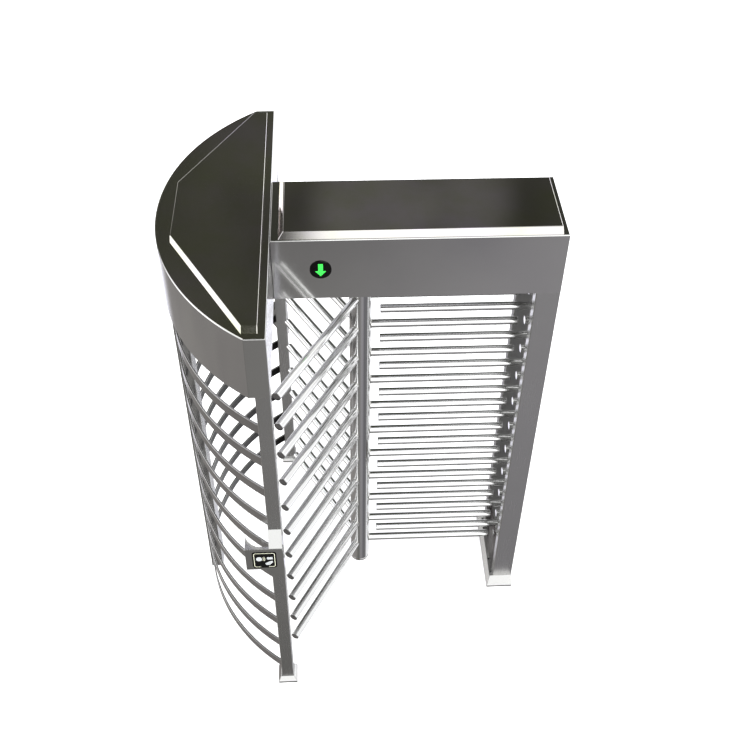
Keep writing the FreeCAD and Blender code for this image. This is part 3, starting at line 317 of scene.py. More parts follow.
# Near black for the bar faces that look at the centre: painted shade.
bar_inside_shade = steel("bar_inside_painted_shade", (0.03, 0.03, 0.03), (9, 9, 1000), (0.24, 0.36))
WINGS = (("a", 0), ("b", 120), ("c", 240))  # each wing's turn about the column, in degrees
wing_tube = {"a": tube_across}
for letter, degrees in WINGS[1:]:
    wing_tube[letter] = steel("polished_tube_wing_" + letter, BRIGHT, (6, 1100, 1100), (0.07, 0.15),
                              turned=math.radians(-degrees), hair=0.03)
steel_cap = steel("pressed_cap_steel", (0.33, 0.33, 0.33), (300, 300, 300), (0.16, 0.26), hair=0.02)
weld_steel = steel("weld_bead_steel", (0.55, 0.54, 0.51), (420, 420, 420), (0.24, 0.42), hair=0.35)
print("steel finishes:", sum("steel" in m.name or "polished" in m.name for m in bpy.data.materials))

# %% [markdown]
# ## The other finishes
# Cast aluminium is blasted, so its bumps have no direction. Black acrylic is a thin gloss
# over black. Moulded plastic has a fine leathery grain. The circuit boards get paler tracks
# over green, and the lamp's arrow is a grid of small green lights.


# %% Other finishes
def grained(name, dark, pale, scale, gloss, bump, **sockets):
    """A finish of two near tones with an even grain: scale is bumps per metre."""
    material, tree, shader, place = begin(name, **sockets)
    grain = noise(tree, place, scale, 4.0, 0.6)
    slow = noise(tree, place, scale / 25, 3.0)
    colour = blend_colour(tree, spread(tree, slow, 0, 1), dark, pale)
    tree.links.new(colour, shader.inputs["Base Color"])
    tree.links.new(spread(tree, grain, *gloss), shader.inputs["Roughness"])
    raise_grain(tree, shader, grain, bump, 0.0004)
    return material


def circuit_board():
    """Green lacquer with a pattern of straight tracks: the cell edges of a square grid."""
    material, tree, shader, place = begin("circuit_board", Roughness=0.35)
    cells = {"Vector": place, "Scale": 130.0, "Randomness": 0.75}
    tracks = add(tree, "ShaderNodeTexVoronoi", cells, distance="MANHATTAN").outputs["Distance"]
    share = spread(tree, tracks, 0, 1, 0.42, 0.5)
    colour = blend_colour(tree, share, (0.02, 0.16, 0.06), (0.10, 0.38, 0.16))
    tree.links.new(colour, shader.inputs["Base Color"])
    raise_grain(tree, shader, share, 0.3, 0.0002)
    return material


def lit_arrow():
    """Small lights on a 3 mm grid: brightness falls with the distance from each cell's middle."""
    material, tree, shader, place = begin("lit_green_arrow", Roughness=0.35)
    parts = add(tree, "ShaderNodeSeparateXYZ", {0: place}).outputs
    flat = add(tree, "ShaderNodeCombineXYZ", {0: parts[0], 1: parts[2]}).outputs[0]
    cells = {"Vector": flat, "Scale": 333.0, "Randomness": 0.0}
    away = add(tree, "ShaderNodeTexVoronoi", cells, voronoi_dimensions="2D").outputs["Distance"]
    dim = spread(tree, away, 0, 1, 0.15, 0.6)
    light = blend_colour(tree, dim, (0.03, 0.80, 0.05), (0.0, 0.40, 0.02))
    colour = blend_colour(tree, dim, (0.05, 0.6, 0.1), (0.01, 0.25, 0.03))
    tree.links.new(light, shader.inputs["Emission Color"])
    tree.links.new(colour, shader.inputs["Base Color"])
    shader.inputs["Emission Strength"].default_value = 1.0
    return material


zinc = grained("zinc_plate", (0.55, 0.56, 0.58), (0.70, 0.71, 0.72), 300, (0.24, 0.42), 0.08,
               Metallic=1.0)
gear_metal = grained("oiled_gear_steel", (0.34, 0.34, 0.35), (0.48, 0.48, 0.49), 700, (0.22, 0.38), 0.1,
                     Metallic=1.0)
bronze = grained("turned_bronze", (0.52, 0.34, 0.15), (0.68, 0.48, 0.24), 600, (0.25, 0.4), 0.1,
                 Metallic=1.0)
casting = grained("blasted_aluminium", (0.60, 0.61, 0.62), (0.72, 0.73, 0.74), 1400, (0.42, 0.58), 0.3,
                  Metallic=1.0)
screw_black = grained("black_oxide", (0.025, 0.025, 0.027), (0.06, 0.06, 0.062), 900, (0.32, 0.5), 0.1,
                      Metallic=0.6)
acrylic = grained("black_acrylic", (0.002, 0.002, 0.002), (0.004, 0.004, 0.004), 60, (0.10, 0.2), 0.01,
                  Specular_IOR_Level=0.15)
plastic = grained("moulded_black_plastic", (0.018, 0.018, 0.019), (0.034, 0.034, 0.035), 2400,
                  (0.42, 0.6), 0.25)
nylon = grained("white_nylon", (0.74, 0.74, 0.70), (0.84, 0.84, 0.81), 1200, (0.4, 0.55), 0.15)
print_ink = grained("pale_print", (0.72, 0.72, 0.52), (0.82, 0.82, 0.66), 700, (0.4, 0.5), 0.02)
grey_ink = grained("grey_print", (0.42, 0.44, 0.45), (0.60, 0.62, 0.63), 500, (0.4, 0.5), 0.02)
board = circuit_board()
green = lit_arrow()

BY_SLOT = {
    "brushed_stainless": steel_across, "polished_stainless": tube_across, "zinc_plate": zinc,
    "gear_steel": gear_metal, "bronze": bronze, "cast_aluminium": casting, "black_screw": screw_black,
    "black_acrylic": acrylic, "black_plastic": plastic, "lit_green": green, "board_green": board,
    "white_nylon": nylon,
}
# The kick panel is dark as painted shade.
BY_NODE = {"kick_panel": kick_shade_steel, "rotor_shaft": tube_upright, "pivot_pin": tube_upright}
for part in frame["record"]["subparts"]:
    cad = frame["nodes"][part["node"]]
    cad.data.materials.clear()
    cad.data.materials.append(BY_NODE.get(part["node"], BY_SLOT[part["material_slot"]]))
print("finished CAD nodes:", len(frame["nodes"]))

# %% [markdown]
# ## Outlines with rounded corners
# Folded sheet never has a knife edge, and the thin bright line along each bend is what
# makes it read as metal. So every box here is a stack of outlines. An outline is a
# polygon whose corners are arcs, and it can be drawn in by any distance.


# %% Rounded outlines
def outline(corners, radii, inset=0.0, steps=5):
    """Points round a polygon given anticlockwise. Each edge is moved in by `inset`.
    A corner's arc centre is corner + (n0 + n1) / (1 + n0.n1) * (inset + radius), where n0
    and n1 are the inward normals of its two edges, and a hollow corner has a negative
    radius. A corner of radius 0 gives a single point."""
    p = np.asarray(corners, float)
    radii = np.broadcast_to(np.asarray(radii, float), len(p))
    edge = np.roll(p, -1, 0) - p
    edge /= np.linalg.norm(edge, axis=1)[:, None]
    after = np.stack([-edge[:, 1], edge[:, 0]], 1)
    before = np.roll(after, 1, 0)
    dot = (before * after).sum(1)
    bend = np.arctan2(before[:, 0] * after[:, 1] - before[:, 1] * after[:, 0], dot)
    size = np.where(bend >= 0, np.maximum(radii - inset, 0.25), -(radii + inset))
    size = np.where(radii > 0, size, 0.0)
    centre = p + (before + after) / (1 + dot)[:, None] * (inset + size)[:, None]
    count = np.where(radii > 0, steps + 1, 1)
    which = np.repeat(np.arange(len(p)), count)
    step = np.arange(len(which)) - np.repeat(np.cumsum(count) - count, count)
    start = np.arctan2(-before[:, 1], -before[:, 0])
    angle = start[which] + bend[which] * step / np.maximum(count[which] - 1, 1)
    return centre[which] + size[which][:, None] * np.stack([np.cos(angle), np.sin(angle)], 1)


def at_level(points, level):
    """Flat outline points lifted to a height."""
    return np.column_stack([points, np.full(len(points), float(level))])


def at_depth(points, depth):
    """Flat outline points stood upright in x and z, at y = depth."""
    return np.column_stack([points[:, 0], np.full(len(points), float(depth)), points[:, 1]])


def rectangle(low, high):
    """The four corners between two opposite ones, anticlockwise."""
    return [(low[0], low[1]), (high[0], low[1]), (high[0], high[1]), (low[0], high[1])]


print("a rounded square has", len(outline(rectangle((0, 0), (10, 10)), 2)), "points")

# %% [markdown]
# ## Skins, lathes and sweeps
# Three ways make nearly all surfaces. A skin joins a stack of equal outlines. A lathe turns
# a profile round a line. A ring weld is a lathe's cousin: a small circle carried round a
# closed path. Each returns its points and its faces.


# %% Surface makers
def weave(rows, count, wrap):
    """Quads of a grid whose rows are closed rings, and whose last row may join the first."""
    grid = np.arange(rows * count).reshape(rows, count)
    low, high = (grid, np.roll(grid, -1, 0)) if wrap else (grid[:-1], grid[1:])
    quads = np.stack([low, np.roll(low, -1, 1), np.roll(high, -1, 1), high], -1)
    return quads.reshape(-1, 4).tolist()


def skin(rings, wrap=False):
    """A surface through rings of equal length. Open stacks are closed by a flat face at each end."""
    rows, count = len(rings), len(rings[0])
    faces = weave(rows, count, wrap)
    if not wrap:
        faces.append(list(range(count))[::-1])
        faces.append(list(range((rows - 1) * count, rows * count)))
    return np.vstack(rings), faces


def lathe(profile, origin, axis, around=32):
    """profile holds (distance along the axis, radius). A point is
    origin + distance * axis + radius * (cos u * a + sin u * b)."""
    axis = np.asarray(axis, float) / np.linalg.norm(axis)
    a = np.cross(axis, (0, 0, 1) if abs(axis[2]) < 0.9 else (1, 0, 0))
    a /= np.linalg.norm(a)
    b = np.cross(axis, a)
    u = np.arange(around) * 2 * np.pi / around
    circle = np.cos(u)[:, None] * a + np.sin(u)[:, None] * b
    along, radius = np.asarray(profile, float).T[:, :, None, None]
    points = np.asarray(origin, float) + along * axis + radius * circle
    return points.reshape(-1, 3), weave(len(profile), around, False)


def ring_weld(path, out, up, size, around=8, ripples=0):
    """A bead round a closed path: path + r * (cos v * out + sin v * up), where
    r = size * (1 + 0.12 sin(ripples * u))."""
    count = len(path)
    u = np.arange(count) * 2 * np.pi / count
    v = (np.arange(around) * 2 * np.pi / around)[:, None, None]
    r = size * (1 + 0.12 * np.sin(ripples * u))[None, :, None]
    points = path[None] + r * (np.cos(v) * out[None] + np.sin(v) * up[None])
    return points.reshape(-1, 3), weave(around, count, True)


def copies(shell, places):
    """The same shell moved to each place."""
    verts, faces = shell
    return [(verts + np.asarray(place, float), faces) for place in places]


def turned(shell, degrees):
    """The shell turned about the vertical axis through the origin."""
    verts, faces = shell
    c, s = math.cos(math.radians(degrees)), math.sin(math.radians(degrees))
    return verts @ np.array([[c, s, 0], [-s, c, 0], [0, 0, 1]]), faces


def mirrored(shell):
    """The shell reflected from front to rear."""
    verts, faces = shell
    return verts * (1, -1, 1), [face[::-1] for face in faces]


def marked(mesh, values):
    """Gives face number i the material in slot values[i]."""
    mesh.polygons.foreach_set("material_index", np.asarray(values).astype(np.int32))


def face_vectors(mesh, kind):
    """Each face's "normal" or "center", as rows of x, y and z."""
    flat = np.zeros(len(mesh.polygons) * 3, np.float32)
    mesh.polygons.foreach_get(kind, flat)
    return flat.reshape(-1, 3)


def piece(name, shells, finish, body, slot, *nodes, crease=35):
    """Joins shells given in millimetres into one object that stands for CAD nodes.
    Corner normals are weighted by face area, so the large flat sheets stay flat."""
    shells = shells if isinstance(shells, list) else [shells]
    verts, faces, start = [], [], 0
    for points, loops in shells:
        verts.append(points)
        faces.extend([[i + start for i in face] for face in loops])
        start += len(points)
    mesh = bpy.data.meshes.new(name)
    mesh.from_pydata(np.vstack(verts) * MM, [], faces)
    form = bmesh.new()
    form.from_mesh(mesh)
    bmesh.ops.remove_doubles(form, verts=form.verts, dist=1e-6)
    bmesh.ops.dissolve_degenerate(form, edges=form.edges, dist=1e-7)
    bmesh.ops.recalc_face_normals(form, faces=form.faces)
    form.to_mesh(mesh)
    form.free()
    mesh.polygons.foreach_set("use_smooth", np.ones(len(mesh.polygons), bool))
    mesh.set_sharp_from_angle(angle=math.radians(crease))
    mesh.materials.append(finish)
    made = bpy.data.objects.new(name, mesh)
    bpy.context.scene.collection.objects.link(made)
    weighted = made.modifiers.new("weighted_normals", "WEIGHTED_NORMAL")
    weighted.mode, weighted.keep_sharp = "FACE_AREA", True
    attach(made, body)
    if nodes:
        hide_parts(*nodes)
    print("%-26s %6d faces" % (name, len(mesh.polygons)))
    return made


def box_mm(node):
    """A CAD node's lowest and highest corner in millimetres."""
    low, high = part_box(node)
    return np.array(low) / MM, np.array(high) / MM


# %% [markdown]
# ## Canopy
# The canopy is a box folded from 3 mm sheet, open below. In plan it is a D: a straight
# side, a short square facet at each end of it, and one long arc. From its box alone the
# arc follows: with depth d from facet to crown and half width h, its radius is
# (d * d + h * h) / (2 d).

# %% D-shaped plan
SHEET, BEND, LIP_EDGE, FACET, ARC_POINTS = 3.0, 4.6, 0.6, 80.0, 59
shell_low, shell_high = box_mm("canopy_shell")
facet_x = shell_high[0] - FACET
arc_depth, half = facet_x - shell_low[0], shell_high[1]
canopy_radius = (arc_depth ** 2 + half ** 2) / (2 * arc_depth)
canopy_centre = shell_low[0] + canopy_radius
sweep = math.asin(half / canopy_radius)
arc_angle = np.pi + np.linspace(sweep, -sweep, ARC_POINTS + 2)[1:-1]
arc = canopy_radius * np.column_stack([np.cos(arc_angle), -np.sin(arc_angle)]) + (canopy_centre, 0)
square_end = [(shell_high[0], -half), (shell_high[0], half), (facet_x, half)]
d_corners = np.vstack([square_end, arc, [(facet_x, -half)]])
d_radii = np.array([4.0, 4.0, 6.0] + [0.0] * ARC_POINTS + [6.0])
print("canopy arc radius %.1f mm about x = %.1f mm" % (canopy_radius, canopy_centre))


# %% Folded box, open below
def folded_box(corners, radii, low, high):
    """Rings from the inside of the roof, down the inner wall, round the lip and up the outside.
    The bend from wall to roof is a quarter circle of radius BEND, and the lip is broken by LIP_EDGE."""
    quarter = np.linspace(0, np.pi / 2, 6)
    steps = [(SHEET, high - SHEET), (SHEET, low + LIP_EDGE), (SHEET - LIP_EDGE, low), (LIP_EDGE, low),
             (0.0, low + LIP_EDGE)]
    steps += [(BEND * (1 - math.cos(a)), high - BEND * (1 - math.sin(a))) for a in quarter]
    return skin([at_level(outline(corners, radii, inset), level) for inset, level in steps])


SHEET_CREASE, LEVEL_ENOUGH = 28, 0.97
canopy = piece("canopy_box", folded_box(d_corners, d_radii, shell_low[2], shell_high[2]), steel_round,
               "frame", "brushed_stainless", "canopy_shell", crease=SHEET_CREASE)
# Faces that look straight up get the olive top steel, a painted reflection that darkens the tops.
canopy.data.materials.append(top_reflection_steel)
marked(canopy.data, face_vectors(canopy.data, "normal")[:, 2] > LEVEL_ENOUGH)

# %% [markdown]
# ## The two lids
# Each box carries a shallow lid. Its top is smaller than its foot, so some sides slope and
# others stand upright. The slope is a straight line from the foot's corners to the top's
# corners, and a narrow rounding at the top edge catches the light.


# %% Lids
LID_STEPS = (  # share of the way to the top's corners, inset, share of the rise
    (0, 0, 0), (0, 0, 0.06), (0.85, 0, 0.85), (0.925, 0.4, 0.925), (0.98, 1.5, 0.98), (1, 3, 1))
LID_RUN, HEADER_LID_RUN, LID_CORNER = 19.0, 26.0, 3.0
SQUARE_HALF, FACET_STEP = 194.0, 7.0


def lid(foot, top, level, rise):
    """Rings whose corners go from foot to top in step with their height."""
    foot, top = np.asarray(foot, float), np.asarray(top, float)
    rings = [at_level(outline(foot + (top - foot) * share, LID_CORNER, inset, 4), level + rise * height)
             for share, inset, height in LID_STEPS]
    return skin(rings)


low, high = box_mm("canopy_lid")
knee = facet_x - FACET_STEP


def canopy_lid_corners(run):
    """Six corners: the depth shrinks by `run` and the length along x stays."""
    deep, end = high[1] - run, SQUARE_HALF - run
    return [(high[0], -deep), (high[0], deep), (knee, deep), (low[0], end), (low[0], -end), (knee, -deep)]


# Both lid trays carry the olive steel with lavender clouds: painted reflection.
piece("canopy_lid_tray", lid(canopy_lid_corners(0), canopy_lid_corners(LID_RUN), low[2], high[2] - low[2]),
      top_reflection_steel, "frame", "brushed_stainless", "canopy_lid", crease=SHEET_CREASE)
low, high = box_mm("header_lid")
foot = rectangle(low, high)
top = rectangle(low + (LID_RUN, HEADER_LID_RUN, 0), high - (0, HEADER_LID_RUN, 0))
piece("header_lid_tray", lid(foot, top, low[2], high[2] - low[2]), lid_reflection_steel,
      "frame", "brushed_stainless", "header_lid", crease=SHEET_CREASE)

# %% [markdown]
# ## Header beam and posts
# The header is the same folded box on a plain rectangle, just clear of the canopy's side.
# The posts are square tube with small corner radii, made as one closed band: up the outside
# and down the inside. The comb post and the one behind it are rougher, with a darker tint as painted shade.

# %% Header and posts
HEADER_CORNER, HEADER_GAP = 3.0, 0.2
low, high = box_mm("header_shell")
low[0] += HEADER_GAP
piece("header_box", folded_box(rectangle(low, high), HEADER_CORNER, low[2], high[2]), steel_across,
      "frame", "brushed_stainless", "header_shell", crease=SHEET_CREASE)

POST_WALL, POST_CORNER = 3.0, 4.5
SHADED_POSTS = ("rear_right_post", "comb_post")
for name in ("front_left_post", "rear_left_post", "side_left_post", "front_right_post") + SHADED_POSTS:
    low, high = box_mm(name)
    steps = ((0, low[2]), (0, high[2]), (POST_WALL, high[2]), (POST_WALL, low[2]))
    rings = [at_level(outline(rectangle(low, high), POST_CORNER, inset), level) for inset, level in steps]
    # The comb post and the rear right post get the darker steel: painted shade.
    finish = shaded_post_steel if name in SHADED_POSTS else steel_upright
    piece(name.replace("_post", "_tube"), skin(rings, wrap=True), finish,
          "frame", "brushed_stainless", name)

# %% [markdown]
# ## Foot covers
# A folded skirt hides each floor plate: a short upright lip, a sloped skirt, and a narrow
# flat ledge against the post. The right-hand one runs under both wall posts.


# %% Foot covers
LIP, SKIRT_CORNER = 12.0, 2.5
COVER_EDGE, COVER_CROWN, POST_GAP = 18.0, 4.0, 0.3
RIGHT_SLOPES, RIGHT_INSET = (18.0, 0.0, 43.0), 0.5


def skirt(low, high, slopes, hole=None):
    """Rings up the lip and the slope, then over the ledge. slopes = (left, right, ends)."""
    left, right_run, ends = slopes
    crown = high[2]
    rings = []
    for share, level, inset in ((0, 0, 0), (0, LIP - 1, 0), (0.02, LIP + 0.5, 0), (0.96, crown - 1.4, 0),
                                (1, crown - 0.3, 0.3), (1, crown, 1.2)):
        a = (low[0] + left * share, low[1] + ends * share)
        b = (high[0] - right_run * share, high[1] - ends * share)
        rings.append(at_level(outline(rectangle(a, b), SKIRT_CORNER, inset, 4), level))
    if hole is None:
        return skin(rings)
    inner = outline(rectangle(*hole), SKIRT_CORNER, 0.0, 4)
    return skin(rings + [at_level(inner, crown), at_level(inner, 0)], wrap=True)


low, high = box_mm("left_foot_covers")
post_low, post_high = box_mm("front_left_post")
front_high = (high[0], post_high[1] + COVER_EDGE, high[2])
slope = COVER_EDGE - COVER_CROWN
gap = np.array((POST_GAP, POST_GAP, 0))
front_skirt = skirt(low, front_high, (slope, slope, slope), (post_low - gap, post_high + gap))
piece("left_foot_skirts", [front_skirt, mirrored(front_skirt)], steel_across,
      "frame", "brushed_stainless", "left_foot_covers")
low, high = box_mm("right_foot_cover")
right_skirt = skirt(low, high - (RIGHT_INSET, 0, 0), RIGHT_SLOPES)
piece("right_foot_skirt", right_skirt, steel_upright, "frame", "brushed_stainless", "right_foot_cover")


# %% Ledge screws
SCREW_RADIUS, SCREW_PLACES = 5.0, (-176.22, -93.06, 112.86, 176.22)  # the places are along y


def screw_head(radius, rise):
    """A low button head with a round socket: profile of (height, radius)."""
    a = np.linspace(0, np.pi / 2, 5)
    dome = np.column_stack([rise * np.sin(a), radius * (0.55 + 0.45 * np.cos(a))])
    socket = [(rise, 0.5 * radius), (0.45 * rise, 0.46 * radius), (0.45 * rise, 0)]
    return np.vstack([[(0, 0), (0, radius)], dome, socket])


low, high = box_mm("foot_cover_screws")
spots = [((low[0] + high[0]) / 2, y, low[2]) for y in SCREW_PLACES]
head = lathe(screw_head(SCREW_RADIUS, high[2] - low[2]), (0, 0, 0), (0, 0, 1), 20)
piece("ledge_screws", copies(head, spots), screw_black, "frame", "black_screw", "foot_cover_screws")

# %% [markdown]
# ## Cage of rolled flat bars
# Ten flat bars, 50 mm high and 8 mm thick, are rolled to the canopy's curve and welded
# between the posts. The section is a rounded rectangle, and it is carried round the
# canopy's centre: point = (c + r cos t, r sin t, z). The bars get a darker steel than the
# other sheet, and the faces that look at the centre are near black: both are painted shade.


# %% Rolled bars
BAR_HIGH, BAR_THICK, BAR_ROUND, BAR_INSET, BAR_COUNT = 50.0, 8.0, 1.6, 19.0, 10
BAR_SINK = 2.0  # how far each bar runs into the posts


def rolled_bar(outer, first, last, level, steps=40):
    """A flat bar's section carried through the angles first..last."""
    corners = rectangle((outer - BAR_THICK, -BAR_HIGH / 2), (outer, BAR_HIGH / 2))
    section = outline(corners, BAR_ROUND, 0.0, 3)
    t = np.linspace(first, last, steps)
    x = canopy_centre + np.cos(t)[:, None] * section[:, 0]
    y = np.sin(t)[:, None] * section[:, 0]
    z = np.broadcast_to(level + section[:, 1], x.shape)
    return skin(list(np.stack([x, y, z], -1)))


low, high = box_mm("cage_bars_front")
bar_radius = canopy_radius - BAR_INSET
levels = np.linspace(low[2] + BAR_HIGH / 2, high[2] - BAR_HIGH / 2, BAR_COUNT)
side_high = box_mm("side_left_post")[1]
post_end = np.pi + math.acos((canopy_centre - high[0] - BAR_SINK) / bar_radius)
side_end = np.pi + math.asin((side_high[1] - BAR_SINK) / bar_radius)
front_bars = [rolled_bar(bar_radius, side_end, post_end, level) for level in levels]
rear_bars = [mirrored(bar) for bar in front_bars]
for side, bars in (("front", front_bars), ("rear", rear_bars)):
    cage = piece("cage_bars_%s_rolled" % side, bars, flat_bar, "frame", "polished_stainless",
                 "cage_bars_" + side)
    # Faces that look at the centre get the near-black steel: painted shade.
    cage.data.materials.append(bar_inside_shade)
    outward = face_vectors(cage.data, "center")[:, :2] - (canopy_centre * MM, 0)
    outward /= np.linalg.norm(outward, axis=1)[:, None]
    facing = (outward * face_vectors(cage.data, "normal")[:, :2]).sum(1)
    marked(cage.data, facing < -0.9)

# %% [markdown]
# ## Rotor
# The column is thick tube. Three wings of eleven polished tubes are welded to it, and each
# tube is closed by a pressed cap that stands slightly domed. Where tube meets column the
# weld follows the saddle x = sqrt(R * R - y * y).

# %% Rotor column
COLUMN_BORE = 44.5
ORIGIN, UPWARD, FROM_AXIS, TO_AXIS = (0, 0, 0), (0, 0, 1), (1, 0, 0), (-1, 0, 0)
low, high = box_mm("rotor_column")
column_radius = high[0]
tube_profile = [(low[2], COLUMN_BORE), (low[2], column_radius - 1), (low[2] + 1, column_radius),
                (high[2] - 1, column_radius), (high[2], column_radius - 1), (high[2], COLUMN_BORE),
                (low[2], COLUMN_BORE)]
piece("rotor_column_tube", lathe(tube_profile, ORIGIN, UPWARD, 96), tube_upright,
      "rotor", "polished_stainless", "rotor_column")

# %% Arms, caps and welds
ARM_COUNT, ARM_WALL, AROUND = 11, 1.5, 40
ARM_START = 0.94  # the tubes begin just inside the column's skin, as a share of its radius
ARM_WELD, COMB_WELD, WELD_RIPPLES = 2.4, 2.2, 10
low, high = box_mm("wing_a_arms")
arm_radius = (high[1] - low[1]) / 2
arm_levels = np.linspace(low[2] + arm_radius, high[2] - arm_radius, ARM_COUNT)
tube_end = high[0]
arm_tip = box_mm("arm_end_caps")[1][0]
BORE = arm_radius - ARM_WALL


def open_tube(start, stop):
    """A tube's closed wall: outside, rounded ends, inside."""
    return [(start, BORE), (start, arm_radius), (stop - 0.5, arm_radius), (stop, arm_radius - 0.5),
            (stop, BORE), (start, BORE)]


def end_cap(start, stop):
    """A pressed cap: a rim with rounded edges, and a face crowned by 0.5 mm."""
    a = np.linspace(0, np.pi / 2, 5)
    edge = np.column_stack([stop - 1.7 + 1.2 * np.sin(a), arm_radius - 1.2 + 1.2 * np.cos(a)])
    face = [(stop - 0.15, arm_radius * 0.55), (stop, 0)]
    return np.vstack([[(start, 0), (start, arm_radius - 0.5), (start + 0.5, arm_radius)], edge, face])


arm = lathe(open_tube(column_radius * ARM_START, tube_end), ORIGIN, FROM_AXIS, AROUND)
cap = lathe(end_cap(tube_end, arm_tip), ORIGIN, FROM_AXIS, AROUND)
u = np.arange(AROUND) * 2 * np.pi / AROUND
circle = np.column_stack([np.zeros(AROUND), np.cos(u), np.sin(u)])
outward = np.tile((1.0, 0, 0), (AROUND, 1))
saddle = arm_radius * circle
saddle[:, 0] = np.sqrt(column_radius ** 2 - saddle[:, 1] ** 2)
weld = ring_weld(saddle, circle, outward, ARM_WELD, ripples=WELD_RIPPLES)
heights = [(0, 0, level) for level in arm_levels]
for letter, degrees in WINGS:
    piece("wing_%s_tubes" % letter, [turned(s, degrees) for s in copies(arm, heights)],
          wing_tube[letter], "rotor", "polished_stainless", "wing_%s_arms" % letter)
all_caps = [turned(s, degrees) for _, degrees in WINGS for s in copies(cap, heights)]
piece("arm_caps", all_caps, steel_cap, "rotor", "polished_stainless", "arm_end_caps")
all_welds = [turned(s, degrees) for _, degrees in WINGS for s in copies(weld, heights)]
piece("arm_welds", all_welds, weld_steel, "rotor", "polished_stainless")

# %% [markdown]
# ## Comb and floor pivot
# Ten fixed bars reach in from the comb post between the rotor's arms, and short stubs stand
# level with the arms. They use the same tube, cap and weld, turned to face the rotor.

# %% Comb
low, high = box_mm("comb_bars")
comb_levels = np.linspace(low[2] + arm_radius, high[2] - arm_radius, ARM_COUNT - 1)
comb_face = high[0]
comb_tip = box_mm("comb_bar_caps")[0][0]
bar = lathe(open_tube(-comb_face, -low[0]), ORIGIN, TO_AXIS, AROUND)
comb_cap = lathe(end_cap(-low[0], -comb_tip), ORIGIN, TO_AXIS, AROUND)
between = [(0, 0, level) for level in comb_levels]
piece("comb_tubes", copies(bar, between), tube_across, "frame", "polished_stainless", "comb_bars")
piece("comb_caps", copies(comb_cap, between), tube_upright, "frame", "polished_stainless", "comb_bar_caps")
stub_end = -box_mm("comb_stubs")[0][0]
stub = lathe([(-comb_face, 0), (-comb_face, arm_radius), (stub_end - 1, arm_radius),
              (stub_end, arm_radius - 1), (stub_end, 0)], ORIGIN, TO_AXIS, AROUND)
piece("comb_stub_ends", copies(stub, heights), tube_across, "frame", "polished_stainless", "comb_stubs")
flat_path = arm_radius * circle
flat_path[:, 0] = comb_face
comb_weld = ring_weld(flat_path, circle, outward, COMB_WELD, ripples=WELD_RIPPLES)
piece("comb_welds", copies(comb_weld, between + heights), weld_steel, "frame", "polished_stainless")

low, high = box_mm("floor_pivot_plate")
plate = [(0, 0), (0, high[0]), (high[2] - 2, high[0]), (high[2], high[0] - 2), (high[2], 0)]
piece("pivot_plate_turned", lathe(plate, ORIGIN, UPWARD, 72), steel_round,
      "frame", "brushed_stainless", "floor_pivot_plate")

# %% [markdown]
# ## Signal lamps
# A black rim holds a black lens, and a lit arrow shows that the way is open. The rear lamp
# is the front one reflected.

# %% Lamps
low, high = box_mm("lamp_rims")
lamp_at = ((low[0] + high[0]) / 2, low[1], (low[2] + high[2]) / 2)
RIM, RIM_DEEP, LENS_BACK, LENS_STEP = 2.5, 4.0, 9.0, 5.3
rim_radius = (high[0] - low[0]) / 2
rim_inner, lens_neck = rim_radius - RIM, rim_radius - LENS_STEP
rim_profile = [(0.8, rim_radius), (0.2, rim_radius - 0.6), (0, rim_radius - 1.2), (0.4, rim_inner),
               (RIM_DEEP, rim_inner), (RIM_DEEP, rim_radius), (0.8, rim_radius)]
lens_profile = [(1.0, 0), (1.1, 0.6 * rim_radius), (1.4, rim_inner - 0.4), (RIM_DEEP, rim_inner - 0.2),
                (RIM_DEEP, lens_neck), (LENS_BACK, lens_neck), (LENS_BACK, 0)]
rim = lathe(rim_profile, lamp_at, (0, 1, 0), 72)
glass = lathe(lens_profile, lamp_at, (0, 1, 0), 72)
ARROW = [(-9.5, -6), (-22, -6), (0, -31), (22, -6), (9.5, -6), (9.5, 29), (-9.5, 29)]
ARROW_ROUND, ARROW_DEEP = 0.8, 1.3


def plate_facing_front(corners, radii, centre, front, deep, edge=0.3):
    """A flat shape in x and z, standing from y = front to front + deep, with a softened front edge."""
    rings = []
    for inset, near in ((0, deep), (0, edge), (edge, 0)):
        flat = outline(corners, radii, inset, 4) + (centre[0], centre[2])
        rings.append(at_depth(flat, front + near))
    return skin(rings)


arrow = plate_facing_front(ARROW, ARROW_ROUND, lamp_at, lamp_at[1], ARROW_DEEP)
piece("lamp_rims_turned", [rim, mirrored(rim)], acrylic, "frame", "black_plastic", "lamp_rims")
piece("lamp_glasses", [glass, mirrored(glass)], acrylic, "frame", "black_acrylic", "lamp_lenses")
piece("lamp_lit_arrows", [arrow, mirrored(arrow)], green, "frame", "lit_green", "lamp_arrows")

# %% [markdown]
# ## Card readers
# A folded housing sits on each walkway post. Its face runs on past the post as a thin
# tongue with a scooped lobe behind, and a sloped roof sheds dust over the post.

# %% Reader housing
FACE_HIGH, SHELF, TONGUE, CHAMFER = 1148.0, 1006.0, 14.0, 30.0
LOBE_WIDE, LOBE_DEEP = 60.0, 58.6
low, high = box_mm("front_reader_housing")
post_low, post_high = box_mm("front_left_post")
face_low, reader_front, shoulder = low[2], low[1], FACE_HIGH - CHAMFER
face_corners = [(low[0], SHELF), (post_low[0] - 25, SHELF), (post_low[0] + 4, face_low),
                (high[0], face_low), (high[0], shoulder), (post_high[0], FACE_HIGH), (low[0], FACE_HIGH)]


def upright_slab(corners, radii, near, far, edge):
    """An outline in x and z carried from y = near to y = far, with both edges rounded."""
    quarter = np.linspace(0, np.pi / 2, 4)
    steps = [(edge * (1 - math.sin(a)), far - edge * (1 - math.cos(a))) for a in quarter]
    steps += [(edge * (1 - math.cos(a)), near + edge * (1 - math.sin(a))) for a in quarter]
    return skin([at_depth(outline(corners, radii, inset, 4), y) for inset, y in steps])


